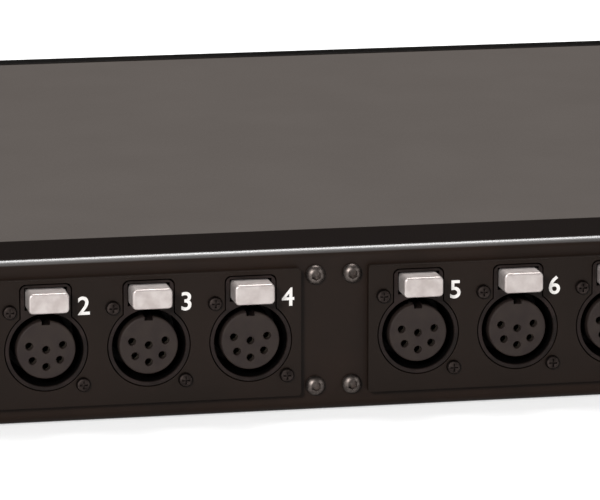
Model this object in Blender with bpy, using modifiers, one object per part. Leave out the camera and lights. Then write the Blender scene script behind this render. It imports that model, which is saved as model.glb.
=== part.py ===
"""A digital to analog converter for stage lighting, in a one-unit 19-inch rack case.

Eight six-pole analog output sockets sit four and four on two raised plates at the rear.
Metres, +Z up. The sockets face -Y, the rack panel faces +Y, and the case stands on z = 0.
"""

import math

import bmesh
import bpy
from mathutils import Matrix, Vector

# Clearances and cutting allowances
CLEAR = 0.0003  # between two pieces that touch
OVERCUT = 0.001  # how far a cutter runs past what it cuts
OVERLAP = 0.0006  # how deep two joined shapes reach into each other

# Sheet-metal case
SHEET = 0.0015
BEND_RADIUS = 0.0025  # on the outer side of a bend
CASE_WIDTH = 0.440
CASE_DEPTH = 0.302
CASE_HEIGHT = 0.0433
REAR_FLANGE = 0.024
FRONT_FLANGE = 0.004
LEDGE = 0.009  # the lowered strip that the cover's edges lie on
SIDE_FLANGE = 0.012
STANDOFF_HEIGHT = 0.008
STANDOFF_RADIUS = 0.003
BOARD_INSET = 0.006  # from a board's edge to the middle of its standoff

# Rack panel
PANEL_WIDTH = 0.4826
PANEL_HEIGHT = 0.0437
PANEL_THICK = 0.003
SLOT_EDGE = 0.00875  # from the panel's end to the middle of a slot
SLOT_SPACING_Z = 0.03175
SLOT_LENGTH = 0.0103
SLOT_WIDTH = 0.0068
EAR_STEP = 0.0003  # how much thicker the panel is beside the case than across it

# Output socket, from its axis outwards
POLE_CIRCLE = 0.009  # diameter of the circle of contacts
POLE_STEP = 52  # degrees from one contact on the circle to the next
POLE_HOLE = 0.0015
CONTACT_BORE = 0.00085
CONTACT_RECESS = 0.002
CONTACT_DEPTH = 0.006
NOSE_RADIUS = 0.0077
NOSE_CHAMFER = 0.0005
NOSE_RECESS = 0.0004
KEY_WIDTH = 0.0022
KEY_DEPTH = 0.0012
GROOVE = 0.0019  # takes the wall of the plug
COLLAR_WALL = 0.001
LATCH_WEB = 0.001  # between the bore and the latch channel
TAB_WIDTH = 0.0104
TAB_HEIGHT = 0.0053
TAB_PROUD = 0.0063
TAB_CORNER = 0.0012
TAB_SOFTENING = 0.0005
HOOD_SIDE = 0.001
HOOD_TOP_WALL = 0.0006
HOOD_CORNER = 0.0016
HOUSING_WIDTH = 0.0254
HOUSING_DROP = 0.0128  # from the axis to the bottom
BACK_OPENING = 0.0068

# Output socket, from its face inwards
PLUG_DEPTH = 0.0157
INSERT_FLANGE = 0.0055
BACK_WALL = 0.002
FINGER_WIDTH = 0.003
FINGER_LENGTH = 0.0028
FINGER_REACH = 0.0012  # into the groove
LATCH_TRAVEL = 0.002
LATCH_STOP = 0.0005  # left behind the latch when it is pressed
LATCH_TAIL = 0.0012

# Screws that hold a socket
SOCKET_SCREW_HOLE = 0.0015
SOCKET_SCREW_WEB = 0.0009  # between the screw hole and the collar's opening
SOCKET_SCREW_LIFT = 0.001

# Banks of sockets
SOCKETS_PER_PLATE = 4
HOUSING_GAP = 0.00127
STRIP_WIDTH = 0.01785  # of the bare wall between the two output plates
PLATE_THICK = 0.002
PLATE_RIM = 0.0011  # above the hood
PLATE_LOWER_MARGIN = 0.0046  # below the collar
PLATE_SIDE_MARGIN = 0.0006  # beyond the last housing
PLATE_CORNER = 0.0008
DMX_EDGE = 0.028  # from the case's side to the first data socket
DMX_SPACING = 0.030

# Male data socket
PIN_RADIUS = 0.0009
PIN_RECESS = 0.0025
MALE_BORE = 0.00815
MALE_DEPTH = 0.0138

# Centre strip
STRIP_SCREW_SPACING_X = 0.0097
STRIP_SCREW_SPACING_Z = 0.0295
STRIP_SCREW_HEAD = 0.0026
STRIP_SCREW_DOME = 0.0018
STRIP_SCREW_TOP = 0.55  # share of the head's radius that is flat
STRIP_SCREW_SHOULDER = (0.88, 0.65)  # shares of the head's radius and of its height
STRIP_SCREW_SHANK = 0.0015
STRIP_SCREW_LENGTH = 0.007
BRACKET_WIDTH = 0.0165
BRACKET_FOOT = 0.018
BRACKET_TOP_GAP = 0.0012  # below the rear flange

# Boards
BOARD_THICK = 0.0016
OUTPUT_BOARD_LOW = 0.0065
OUTPUT_BOARD_HEIGHT = 0.031
OUTPUT_BOARD_MARGIN = 0.0005
MAIN_BOARD_WIDTH = 0.180
MAIN_BOARD_DEPTH = 0.120
CHIP_SIZE = 0.016
CHIP_HEIGHT = 0.003
RIBBON_WIDTH = 0.0254
RIBBON_THICK = 0.0009
RIBBON_BEND = 0.004
RIBBON_RUN = 0.014  # straight stretch in front of each header
RIBBON_DROP = 0.007  # along the floor while it comes down from header height
HEADER_DEPTH = 0.006
HEADER_HEIGHT = 0.008
HEADER_MARGIN = 0.002

# Power supply
SUPPLY_WIDTH = 0.074
SUPPLY_DEPTH = 0.120
SUPPLY_SIDE_GAP = 0.025
SUPPLY_REAR_GAP = 0.075
CORE_WIDTH = 0.042
CORE_DEPTH = 0.022
CORE_HEIGHT = 0.025
WINDING_WIDTH = 0.026
WINDING_DEPTH = 0.036
WINDING_HEIGHT = 0.018
CAPACITOR_RADIUS = 0.006
CAPACITOR_HEIGHT = 0.020
CAPACITOR_PLACE = 0.6  # share of the board's length from its rear edge
TERMINAL_SIZE = 0.010

# Mains inlet
INLET_EDGE = 0.045  # from the case's side to its middle
INLET_FLANGE_WIDTH = 0.031
INLET_FLANGE_HEIGHT = 0.024
INLET_FLANGE_THICK = 0.0022
INLET_CAVITY_WIDTH = 0.0246
INLET_CAVITY_HEIGHT = 0.0166
INLET_CHAMFER = 0.0042
INLET_WALL = 0.0015
INLET_DEPTH = 0.0175
INLET_BASE = 0.004
INLET_CORNER = 0.002
BLADE_WIDTH = 0.002
BLADE_HEIGHT = 0.004
BLADE_LENGTH = 0.0135
BLADE_SPACING = 0.014
EARTH_RISE = 0.004
TAG_LENGTH = 0.006
TAG_WIDTH = 0.0048
TAG_THICK = 0.0012

# Power switch on the rack panel
SWITCH_EDGE = 0.035  # from the case's side to its middle
SWITCH_WIDTH = 0.0128
SWITCH_HEIGHT = 0.0192
SWITCH_BODY_DEPTH = 0.016
BEZEL_BORDER = 0.0012
BEZEL_THICK = 0.0015
SWITCH_WALL = 0.0010
ROCKER_SLACK = 0.0008  # left above and below for the swing
ROCKER_TIP = 0.0036  # tips above the pivot
ROCKER_VALLEY = 0.0026
ROCKER_ROOT = 0.0035
ROCKER_SWING = 8  # degrees to each side of the middle
PIVOT_DEPTH = 0.002  # below the bezel's face
PIVOT_RADIUS = 0.0008
SWITCH_CAVITY = 0.007

# Address dials and lamps on the rack panel
DIAL_COUNT = 3
DIAL_SPACING = 0.020
DIAL_START = 0.050
DIAL_RADIUS = 0.0046
DIAL_PROUD = 0.002
DIAL_FLUTES = 8
DIAL_FLUTE_DEPTH = 0.0004
DIAL_SHAFT = 0.0015
DIAL_SHAFT_REACH = 0.0025
DIAL_SLOT_WIDTH = 0.0012
DIAL_SLOT_DEPTH = 0.0008
CODE_SWITCH_SIZE = 0.0105
CODE_SWITCH_DEPTH = 0.008
LAMP_RADIUS = 0.0015
LAMP_SPACING = 0.010
LAMP_START = 0.020
FRONT_BOARD_HEIGHT = 0.024
FRONT_BOARD_MARGIN = 0.008

# Leads
MAINS_LEAD_RADIUS = 0.0022
DATA_LEAD_RADIUS = 0.0016
LEAD_START = 0.012  # how far a lead runs straight from a tag
LEAD_SETTLE = 0.040  # in which it comes down to the floor
MAINS_LEAD_ASIDE = 0.006
SUPPLY_LEAD_START = 0.020
DIRECT_LEAD_START = 0.008
DATA_LEAD_START = 0.015
DATA_LEAD_ASIDE = 0.010

# How finely round things are divided
ROUND_SIDES = 16
HOLE_SIDES = 6
PIVOT_SIDES = 8
CORNER_STEPS = 2
BEND_STEPS = 3
LEAD_POINTS = 9
FLUTE_POINTS = 3

# Worked out from the sizes above: the socket, outwards
BORE_RADIUS = NOSE_RADIUS + GROOVE
COLLAR_RADIUS = BORE_RADIUS + COLLAR_WALL
TAB_LOW = BORE_RADIUS + LATCH_WEB + CLEAR
TAB_TOP = TAB_LOW + TAB_HEIGHT
HOOD_TOP = TAB_TOP + CLEAR + HOOD_TOP_WALL
HOOD_HALF = TAB_WIDTH / 2 + CLEAR + HOOD_SIDE
HOUSING_TOP = HOOD_TOP + HOOD_TOP_WALL
CONTACT_RADIUS = POLE_HOLE - CLEAR
SOCKET_PITCH = HOUSING_WIDTH + HOUSING_GAP
SOCKET_SCREW_OUT = (COLLAR_RADIUS + CLEAR + SOCKET_SCREW_WEB + SOCKET_SCREW_HOLE) / math.sqrt(2)
SOCKET_SCREWS = (
    (-SOCKET_SCREW_OUT, SOCKET_SCREW_OUT + SOCKET_SCREW_LIFT),
    (SOCKET_SCREW_OUT, -SOCKET_SCREW_OUT),
)

# The socket, inwards from its face
WALL_FRONT = PLATE_THICK + CLEAR
HOUSING_FRONT = WALL_FRONT + SHEET + CLEAR
SHOULDER = NOSE_RECESS + PLUG_DEPTH
INSERT_BACK = SHOULDER + INSERT_FLANGE
HOUSING_BACK = INSERT_BACK + CLEAR + BACK_WALL
FINGER_BACK = SHOULDER - CLEAR - LATCH_TRAVEL - LATCH_STOP
FINGER_FRONT = FINGER_BACK - FINGER_LENGTH
LATCH_BACK = FINGER_BACK + LATCH_TAIL
CHANNEL_BACK = LATCH_BACK + LATCH_TRAVEL + LATCH_STOP
BOARD_FACE = HOUSING_BACK + CLEAR

# The plates and where the sockets stand
PLATE_TOP = HOOD_TOP + CLEAR + PLATE_RIM
PLATE_DROP = COLLAR_RADIUS + PLATE_LOWER_MARGIN
SOCKET_Z = (CASE_HEIGHT - PLATE_TOP - PLATE_DROP) / 2 + PLATE_DROP
SIDE_MARGIN = HOUSING_WIDTH / 2 + PLATE_SIDE_MARGIN
INNER_SOCKET_X = STRIP_WIDTH / 2 + SIDE_MARGIN
OUTPUT_X = [INNER_SOCKET_X + i * SOCKET_PITCH for i in range(SOCKETS_PER_PLATE)]
DMX_IN_X = -CASE_WIDTH / 2 + DMX_EDGE
DMX_THRU_X = DMX_IN_X + DMX_SPACING
INLET_X = CASE_WIDTH / 2 - INLET_EDGE
SWITCH_X = CASE_WIDTH / 2 - SWITCH_EDGE
MID_Z = CASE_HEIGHT / 2
PANEL_MID_Z = PANEL_HEIGHT / 2

# The rocker's highest tip, and the middle of the whole converter from back to front
ROCKER_HALF = SWITCH_HEIGHT / 2 - SWITCH_WALL - ROCKER_SLACK
SWING = math.radians(ROCKER_SWING)
ROCKER_REACH = ROCKER_TIP * math.cos(SWING) + ROCKER_HALF * math.sin(SWING) - PIVOT_DEPTH
FRONT_REACH = max(BEZEL_THICK + CLEAR + ROCKER_REACH, DIAL_PROUD)
FACE_TO_PANEL = WALL_FRONT + CASE_DEPTH + CLEAR + PANEL_THICK
FACE_Y = -(TAB_PROUD + FACE_TO_PANEL + FRONT_REACH) / 2 + TAB_PROUD
WALL_Y = FACE_Y + WALL_FRONT  # outer side of the rear wall
FRONT_Y = WALL_Y + CASE_DEPTH  # outer side of the front wall
PANEL_Y = FRONT_Y + CLEAR
PANEL_FACE_Y = PANEL_Y + PANEL_THICK
EAR_BACK_Y = PANEL_Y - EAR_STEP
COVER_DROP = SHEET + CLEAR  # the ledge's depth below the flange
SIDE_X = CASE_WIDTH / 2 - SHEET - CLEAR  # the tray inside the cover's sides

# Boards inside
BOARD_UNDERSIDE = SHEET + STANDOFF_HEIGHT + CLEAR
BOARD_TOP = BOARD_UNDERSIDE + BOARD_THICK
CODE_SWITCH_FACE = FRONT_Y - SHEET - CLEAR
FRONT_BOARD_FACE = CODE_SWITCH_FACE - CODE_SWITCH_DEPTH
FRONT_BOARD_BACK = FRONT_BOARD_FACE - BOARD_THICK
MAIN_BOARD_FRONT = FRONT_BOARD_BACK - CLEAR
MAIN_BOARD_REAR = MAIN_BOARD_FRONT - MAIN_BOARD_DEPTH
RIBBON_X = (OUTPUT_X[0] + OUTPUT_X[-1]) / 2
OUTPUT_HEADER_Z = SOCKET_Z
OUTPUT_HEADER_BACK = FACE_Y + BOARD_FACE + BOARD_THICK + HEADER_DEPTH
MAIN_HEADER_Z = BOARD_TOP + HEADER_HEIGHT / 2
SUPPLY_X = CASE_WIDTH / 2 - SUPPLY_SIDE_GAP - SUPPLY_WIDTH / 2
SUPPLY_REAR = WALL_Y + SUPPLY_REAR_GAP
SUPPLY_FRONT = SUPPLY_REAR + SUPPLY_DEPTH

# Finish of each material: colour, roughness, metallic
FINISHES = {
    "dark_brown_paint": ("#2b2320", 0.42, 0.0),
    "grey_brown_paint": ("#665e58", 0.50, 0.0),
    "black_anodised_aluminium": ("#1a1716", 0.38, 0.6),
    "black_moulded_nylon": ("#0e0c0c", 0.45, 0.0),
    "dark_insert_nylon": ("#37322f", 0.50, 0.0),
    "nickel_plated_zinc": ("#d2cac6", 0.28, 1.0),
    "tin_plated_brass": ("#a89c86", 0.30, 1.0),
    "black_oxide_steel": ("#5c524d", 0.35, 1.0),
    "zinc_plated_steel": ("#9a9892", 0.40, 1.0),
    "green_circuit_board": ("#1f4a2e", 0.45, 0.0),
    "grey_ribbon": ("#8d8c88", 0.55, 0.0),
    "black_lead": ("#161414", 0.50, 0.0),
    "transformer_iron": ("#6b6660", 0.45, 0.8),
    "white_dial_nylon": ("#d9d6cd", 0.40, 0.0),
}


def new_collection(name):
    collection = bpy.data.collections.new(name)
    bpy.context.scene.collection.children.link(collection)
    return collection


def clear_scene():
    for obj in list(bpy.data.objects):
        bpy.data.objects.remove(obj, do_unlink=True)


clear_scene()
PARTS = new_collection("lighting_dac")
CUTTERS = new_collection("cutters")


def srgb(code):
    """The linear colour of a hex sRGB code."""
    values = [int(code[i : i + 2], 16) / 255 for i in (1, 3, 5)]
    linear = [v / 12.92 if v <= 0.04045 else ((v + 0.055) / 1.055) ** 2.4 for v in values]
    return (*linear, 1.0)


def material_of(name):
    """The named finish as a Principled material, made once."""
    found = bpy.data.materials.get(name)
    if found:
        return found
    code, roughness, metallic = FINISHES[name]
    material = bpy.data.materials.new(name)
    material.use_nodes = True
    shader = material.node_tree.nodes["Principled BSDF"]
    shader.inputs["Base Color"].default_value = srgb(code)
    shader.inputs["Roughness"].default_value = roughness
    shader.inputs["Metallic"].default_value = metallic
    material.diffuse_color = srgb(code)
    return material


def shape_from(bm):
    """A working shape, kept with the cutters until it becomes a part."""
    bmesh.ops.recalc_face_normals(bm, faces=bm.faces)
    mesh = bpy.data.meshes.new("shape")
    bm.to_mesh(mesh)
    bm.free()
    obj = bpy.data.objects.new("shape", mesh)
    obj.hide_render = True
    obj.display_type = "WIRE"
    CUTTERS.objects.link(obj)
    return obj


def baked(obj):
    """The object with its modifiers applied, and any curve made a welded mesh."""
    bpy.context.view_layer.update()
    graph = bpy.context.evaluated_depsgraph_get()
    mesh = bpy.data.meshes.new_from_object(obj.evaluated_get(graph))
    bm = bmesh.new()
    bm.from_mesh(mesh)
    bm.transform(obj.matrix_world)
    bmesh.ops.remove_doubles(bm, verts=bm.verts, dist=1e-6)
    bpy.data.objects.remove(obj, do_unlink=True)
    return shape_from(bm)


def combine(body, tools, operation="DIFFERENCE"):
    """The body with each tool cut away from it or joined to it."""
    for tool in tools:
        step = body.modifiers.new(operation.lower(), "BOOLEAN")
        step.operation = operation
        step.object = tool
    result = baked(body)
    for tool in tools:
        bpy.data.objects.remove(tool, do_unlink=True)
    return result


def join(body, *tools):
    return combine(body, tools, "UNION")


def part(shape, name, finish, place=(0, 0, 0)):
    """The shape as a named part. A place other than the origin is where its own origin lies."""
    shape.name = name
    shape.data.name = name
    shape.data.transform(Matrix.Translation(-Vector(place)))
    shape.location = place
    return dressed(shape, finish)


def dressed(obj, finish):
    obj.hide_render = False
    obj.display_type = "TEXTURED"
    obj.data.materials.clear()
    obj.data.materials.append(material_of(finish))
    obj.data.shade_smooth()
    obj.data.set_sharp_from_angle(angle=math.radians(35))
    CUTTERS.objects.unlink(obj)
    PARTS.objects.link(obj)
    return obj


def copies(shape, names, places, finish):
    """The same mesh as one part at each place."""
    shape.data.name = finish
    for name, place in zip(names, places):
        copy = bpy.data.objects.new(name, shape.data)
        copy.location = place
        CUTTERS.objects.link(copy)
        dressed(copy, finish)
    bpy.data.objects.remove(shape, do_unlink=True)


def block(low, high):
    bm = bmesh.new()
    bmesh.ops.create_cube(bm, size=1.0)
    bmesh.ops.scale(bm, vec=Vector(high) - Vector(low), verts=bm.verts)
    bmesh.ops.translate(bm, vec=(Vector(high) + Vector(low)) / 2, verts=bm.verts)
    return shape_from(bm)


AXIS_TURNS = {
    "X": Matrix.Rotation(math.radians(90), 4, "Y"),
    "Y": Matrix.Rotation(math.radians(90), 4, "X"),
    "Z": Matrix.Identity(4),
}


def rod(middle, radius, length, axis="Y", sides=HOLE_SIDES):
    """A cylinder along an axis, given by the middle of its length."""
    bm = bmesh.new()
    bmesh.ops.create_cone(
        bm, cap_ends=True, segments=sides, radius1=radius, radius2=radius, depth=length
    )
    bm.transform(Matrix.Translation(middle) @ AXIS_TURNS[axis])
    return shape_from(bm)


def rod_between(x, z, radius, y_start, y_end, sides=HOLE_SIDES):
    """A cylinder along Y from one depth to another."""
    return rod((x, (y_start + y_end) / 2, z), radius, y_end - y_start, "Y", sides)


def turned(profile, sides=ROUND_SIDES):
    """A turned shape about Y. Its profile is (radius, depth), from its face inwards."""
    bm = bmesh.new()
    points = [bm.verts.new((radius, 0, -depth)) for radius, depth in profile]
    for first, second in zip(points, points[1:]):
        bm.edges.new((first, second))
    mesh = bpy.data.meshes.new("profile")
    bm.to_mesh(mesh)
    bm.free()
    obj = bpy.data.objects.new("profile", mesh)
    CUTTERS.objects.link(obj)
    screw = obj.modifiers.new("turn", "SCREW")
    screw.steps = sides
    screw.render_steps = sides
    screw.use_merge_vertices = True
    screw.merge_threshold = 1e-5
    obj.rotation_euler = (math.radians(90), 0, 0)
    return baked(obj)


def arc(middle, radius, start, end, steps):
    """Points on an arc from one angle to another, in degrees from +X."""
    angles = [math.radians(start + (end - start) * i / steps) for i in range(steps + 1)]
    return [(middle[0] + radius * math.cos(a), middle[1] + radius * math.sin(a)) for a in angles]


def circle(x, z, radius, sides=HOLE_SIDES):
    return arc((x, z), radius, 0, 360, sides)[:-1]


def rounded(corners, steps=CORNER_STEPS, is_open=False):
    """An outline whose corners, given as (x, y, radius), are replaced by arcs."""
    points = []
    last = len(corners) - 1
    for i, (x, y, radius) in enumerate(corners):
        corner = Vector((x, y))
        if radius <= 0 or (is_open and i in (0, last)):
            points.append(corner)
            continue
        back = (Vector(corners[i - 1][:2]) - corner).normalized()
        ahead = (Vector(corners[(i + 1) % len(corners)][:2]) - corner).normalized()
        half = back.angle(ahead) / 2
        centre = corner + (back + ahead).normalized() * radius / math.sin(half)
        first = corner + back * radius / math.tan(half) - centre
        second = corner + ahead * radius / math.tan(half) - centre
        turn = first.angle_signed(second)
        for step in range(steps + 1):
            spoke = Matrix.Rotation(-turn * step / steps, 2) @ first
            points.append(centre + spoke)
    return [(point[0], point[1]) for point in points]


def rectangle(x, z, width, height, radius=0.0):
    left, right, low, high = x - width / 2, x + width / 2, z - height / 2, z + height / 2
    corners = [(left, low, radius), (right, low, radius), (right, high, radius), (left, high, radius)]
    return rounded(corners)


def keyhole(radius, half_width, top, corner):
    """A round opening that runs up into a straight-sided one, about the socket's axis."""
    meeting = math.degrees(math.acos(half_width / radius))
    lower = arc((0, 0), radius, 180 - meeting, 360 + meeting, ROUND_SIDES - 4)
    upper_right = arc((half_width - corner, top - corner), corner, 0, 90, CORNER_STEPS)
    upper_left = arc((corner - half_width, top - corner), corner, 90, 180, CORNER_STEPS)
    return lower + upper_right + upper_left


def moved(outline, x, z):
    return [(px + x, pz + z) for px, pz in outline]


def blank(outlines, y_start, y_end):
    """A flat piece across Y: the outer outline with the others as holes, or several pieces."""
    curve = bpy.data.curves.new("blank", "CURVE")
    curve.dimensions = "2D"
    curve.fill_mode = "BOTH"
    curve.extrude = (y_end - y_start) / 2
    for outline in outlines:
        spline = curve.splines.new("POLY")
        spline.points.add(len(outline) - 1)
        for point, (x, z) in zip(spline.points, outline):
            point.co = (x, z, 0, 1)
        spline.use_cyclic_u = True
    obj = bpy.data.objects.new("blank", curve)
    CUTTERS.objects.link(obj)
    obj.rotation_euler = (math.radians(90), 0, 0)
    obj.location = (0, (y_start + y_end) / 2, 0)
    return baked(obj)


def bent_sheet(line, thickness, start, end, axis):
    """A sheet that follows a line of (across, up), its outer side, from start to end along an axis."""
    bm = bmesh.new()
    near, far = (start, end) if axis == "X" else (end, start)
    rows = []
    for across, up in line:
        if axis == "X":
            rows.append((bm.verts.new((near, across, up)), bm.verts.new((far, across, up))))
        else:
            rows.append((bm.verts.new((across, near, up)), bm.verts.new((across, far, up))))
    for (a, b), (c, d) in zip(rows, rows[1:]):
        bm.faces.new((a, c, d, b))
    mesh = bpy.data.meshes.new("sheet")
    bm.to_mesh(mesh)
    bm.free()
    obj = bpy.data.objects.new("sheet", mesh)
    CUTTERS.objects.link(obj)
    solidify = obj.modifiers.new("thickness", "SOLIDIFY")
    solidify.thickness = thickness
    solidify.offset = -1
    solidify.use_even_offset = True
    return baked(obj)


def smooth_route(points, count):
    """Points along a smooth curve through the given ones, straight at both ends."""
    route = [Vector(p) for p in points]
    steps = [(b - a).length for a, b in zip(route, route[1:])]
    tangents = [(route[1] - route[0]).normalized()]
    for i in range(1, len(steps)):
        tangents.append((route[i + 1] - route[i - 1]) / (steps[i - 1] + steps[i]))
    tangents.append((route[-1] - route[-2]).normalized())
    found = []
    for i, step in enumerate(steps):
        pieces = max(2, round(count * step / sum(steps)))
        found += [hermite(route, tangents, step, i, n / pieces) for n in range(pieces)]
    return found + [route[-1]]


def hermite(route, tangents, step, i, t):
    """The point at share t of the way from the route's point i to the next."""
    return (
        route[i] * (2 * t**3 - 3 * t**2 + 1)
        + tangents[i] * step * (t**3 - 2 * t**2 + t)
        + route[i + 1] * (3 * t**2 - 2 * t**3)
        + tangents[i + 1] * step * (t**3 - t**2)
    )


def lead(name, points, radius):
    """A round lead along a smooth route, with flat ends."""
    curve = bpy.data.curves.new(name, "CURVE")
    curve.dimensions = "3D"
    curve.bevel_depth = radius
    curve.bevel_resolution = 2
    curve.use_fill_caps = True
    spline = curve.splines.new("POLY")
    route = smooth_route(points, LEAD_POINTS)
    spline.points.add(len(route) - 1)
    for point, place in zip(spline.points, route):
        point.co = (*place, 1)
    obj = bpy.data.objects.new(name, curve)
    CUTTERS.objects.link(obj)
    return part(baked(obj), name, "black_lead")


def socket_opening(x, male=False):
    """Outlines that a socket needs in its plate and in the rear wall: the mouth and two screw holes."""
    if male:
        mouth = circle(0, 0, COLLAR_RADIUS + CLEAR, ROUND_SIDES)
    else:
        mouth = keyhole(COLLAR_RADIUS + CLEAR, HOOD_HALF + CLEAR, HOOD_TOP + CLEAR, HOOD_CORNER)
    holes = [circle(sx, sz, SOCKET_SCREW_HOLE) for sx, sz in SOCKET_SCREWS]
    return [moved(outline, x, SOCKET_Z) for outline in (mouth, *holes)]


def strip_screw_places():
    half_x, half_z = STRIP_SCREW_SPACING_X / 2, STRIP_SCREW_SPACING_Z / 2
    return [(x, MID_Z + z) for z in (half_z, -half_z) for x in (-half_x, half_x)]


def inlet_outline(grow=0.0):
    """The mains inlet's cavity, with its two cut corners, grown by a wall or a clearance."""
    half_x, half_z = INLET_CAVITY_WIDTH / 2 + grow, INLET_CAVITY_HEIGHT / 2 + grow
    cut = INLET_CHAMFER
    corners = [
        (-half_x, -half_z),
        (half_x, -half_z),
        (half_x, half_z - cut),
        (half_x - cut, half_z),
        (cut - half_x, half_z),
        (-half_x, half_z - cut),
    ]
    return moved(corners, INLET_X, MID_Z)


def rear_openings():
    """Every opening in the rear wall."""
    outlines = []
    for x in OUTPUT_X:
        outlines += socket_opening(x) + socket_opening(-x)
    outlines += socket_opening(DMX_THRU_X) + socket_opening(DMX_IN_X, male=True)
    outlines += [circle(x, z, STRIP_SCREW_SHANK + CLEAR) for x, z in strip_screw_places()]
    outlines.append(inlet_outline(INLET_WALL + CLEAR))
    return outlines


def dial_places():
    return [DIAL_START + i * DIAL_SPACING for i in range(DIAL_COUNT)]


def lamp_places():
    return [LAMP_START, LAMP_START + LAMP_SPACING]


def front_openings():
    """Openings that the rack panel and the front wall behind it share."""
    outlines = [circle(x, PANEL_MID_Z, DIAL_RADIUS + CLEAR, ROUND_SIDES) for x in dial_places()]
    outlines += [circle(x, PANEL_MID_Z, LAMP_RADIUS + CLEAR) for x in lamp_places()]
    outlines.append(rectangle(SWITCH_X, PANEL_MID_Z, SWITCH_WIDTH + 2 * CLEAR, SWITCH_HEIGHT + 2 * CLEAR))
    return outlines


def standoff_places(x_low, x_high, y_low, y_high):
    return [
        (x, y)
        for x in (x_low + BOARD_INSET, x_high - BOARD_INSET)
        for y in (y_low + BOARD_INSET, y_high - BOARD_INSET)
    ]


def supply_board_span():
    half = SUPPLY_WIDTH / 2
    return SUPPLY_X - half, SUPPLY_X + half, SUPPLY_REAR, SUPPLY_FRONT


def main_board_span():
    return -MAIN_BOARD_WIDTH / 2, MAIN_BOARD_WIDTH / 2, MAIN_BOARD_REAR, MAIN_BOARD_FRONT


def chassis_tray():
    """Bottom, rear wall and front wall in one bent sheet, with ledges for the cover."""
    rear_edge, front_edge = WALL_Y + REAR_FLANGE, FRONT_Y - FRONT_FLANGE
    ledge_z = CASE_HEIGHT - COVER_DROP
    line = rounded(
        [
            (rear_edge + LEDGE, ledge_z, 0),
            (rear_edge, ledge_z, 0),
            (rear_edge, CASE_HEIGHT, 0),
            (WALL_Y, CASE_HEIGHT, BEND_RADIUS),
            (WALL_Y, 0, BEND_RADIUS),
            (FRONT_Y, 0, BEND_RADIUS),
            (FRONT_Y, CASE_HEIGHT, BEND_RADIUS),
            (front_edge, CASE_HEIGHT, 0),
            (front_edge, ledge_z, 0),
            (front_edge - LEDGE, ledge_z, 0),
        ],
        BEND_STEPS,
        is_open=True,
    )
    tray = bent_sheet(line, SHEET, -CASE_WIDTH / 2, CASE_WIDTH / 2, "X")
    cutters = []
    side_gap = CLEAR / 2
    for side in (-1, 1):
        outer = side * (CASE_WIDTH / 2 + OVERCUT)
        inner = side * (SIDE_X - SHEET / 2)
        low_x, high_x = min(inner, outer), max(inner, outer)
        cutters.append(
            block(
                (low_x, WALL_Y + SHEET + side_gap, -OVERCUT),
                (high_x, FRONT_Y - SHEET - side_gap, CASE_HEIGHT - SHEET - side_gap),
            )
        )
        ledge_inner = side * (SIDE_X - BEND_RADIUS)
        low_x, high_x = min(ledge_inner, outer), max(ledge_inner, outer)
        cutters.append(
            block(
                (low_x, rear_edge - OVERLAP, ledge_z - SHEET - OVERCUT),
                (high_x, front_edge + OVERLAP, ledge_z + OVERLAP),
            )
        )
    cutters.append(blank(rear_openings(), WALL_Y - OVERCUT, WALL_Y + SHEET + OVERCUT))
    cutters.append(blank(front_openings(), FRONT_Y - SHEET - OVERCUT, FRONT_Y + OVERCUT))
    tray = combine(tray, cutters)
    additions = []
    for side in (-1, 1):
        edge, inner = side * SIDE_X, side * (SIDE_X - SHEET)
        additions.append(
            block(
                (min(edge, inner), WALL_Y + 2 * BEND_RADIUS, SHEET / 2),
                (max(edge, inner), FRONT_Y - 2 * BEND_RADIUS, SIDE_FLANGE),
            )
        )
    foot = SHEET - OVERLAP
    for x, y in standoff_places(*supply_board_span()) + standoff_places(*main_board_span()):
        top = SHEET + STANDOFF_HEIGHT
        additions.append(rod((x, y, (foot + top) / 2), STANDOFF_RADIUS, top - foot, "Z"))
    return part(join(tray, *additions), "chassis_tray", "dark_brown_paint")


def top_cover():
    """Top and two sides in one bent sheet. The top lies on the tray's ledges, flush with its flanges."""
    half = CASE_WIDTH / 2
    line = rounded(
        [
            (half, 0, 0),
            (half, CASE_HEIGHT, BEND_RADIUS),
            (-half, CASE_HEIGHT, BEND_RADIUS),
            (-half, 0, 0),
        ],
        BEND_STEPS,
        is_open=True,
    )
    rear, front = WALL_Y + SHEET + CLEAR, FRONT_Y - SHEET - CLEAR
    cover = bent_sheet(line, SHEET, rear, front, "Y")
    under_flange = CASE_HEIGHT - SHEET - 2 * CLEAR
    notches = [
        block(
            (-half - OVERCUT, rear - OVERCUT, under_flange),
            (half + OVERCUT, WALL_Y + REAR_FLANGE + CLEAR, CASE_HEIGHT + OVERCUT),
        ),
        block(
            (-half - OVERCUT, FRONT_Y - FRONT_FLANGE - CLEAR, under_flange),
            (half + OVERCUT, front + OVERCUT, CASE_HEIGHT + OVERCUT),
        ),
    ]
    return part(combine(cover, notches), "top_cover", "grey_brown_paint")


def front_panel():
    """The rack panel, with its four mounting slots. Its ears are level with the case's front wall."""
    outline = rectangle(0, PANEL_MID_Z, PANEL_WIDTH, PANEL_HEIGHT, PLATE_CORNER)
    panel = blank([outline], EAR_BACK_Y, PANEL_FACE_Y)
    half = CASE_WIDTH / 2 + CLEAR
    relief = block(
        (-half, EAR_BACK_Y - OVERCUT, -OVERCUT), (half, PANEL_Y, PANEL_HEIGHT + OVERCUT)
    )
    openings = front_openings()
    slot_x = PANEL_WIDTH / 2 - SLOT_EDGE
    for side in (-1, 1):
        for up in (-1, 1):
            openings.append(slot_outline(side * slot_x, PANEL_MID_Z + up * SLOT_SPACING_Z / 2))
    openings = blank(openings, EAR_BACK_Y - OVERCUT, PANEL_FACE_Y + OVERCUT)
    return part(combine(panel, [relief, openings]), "front_panel", "black_anodised_aluminium")


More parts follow.
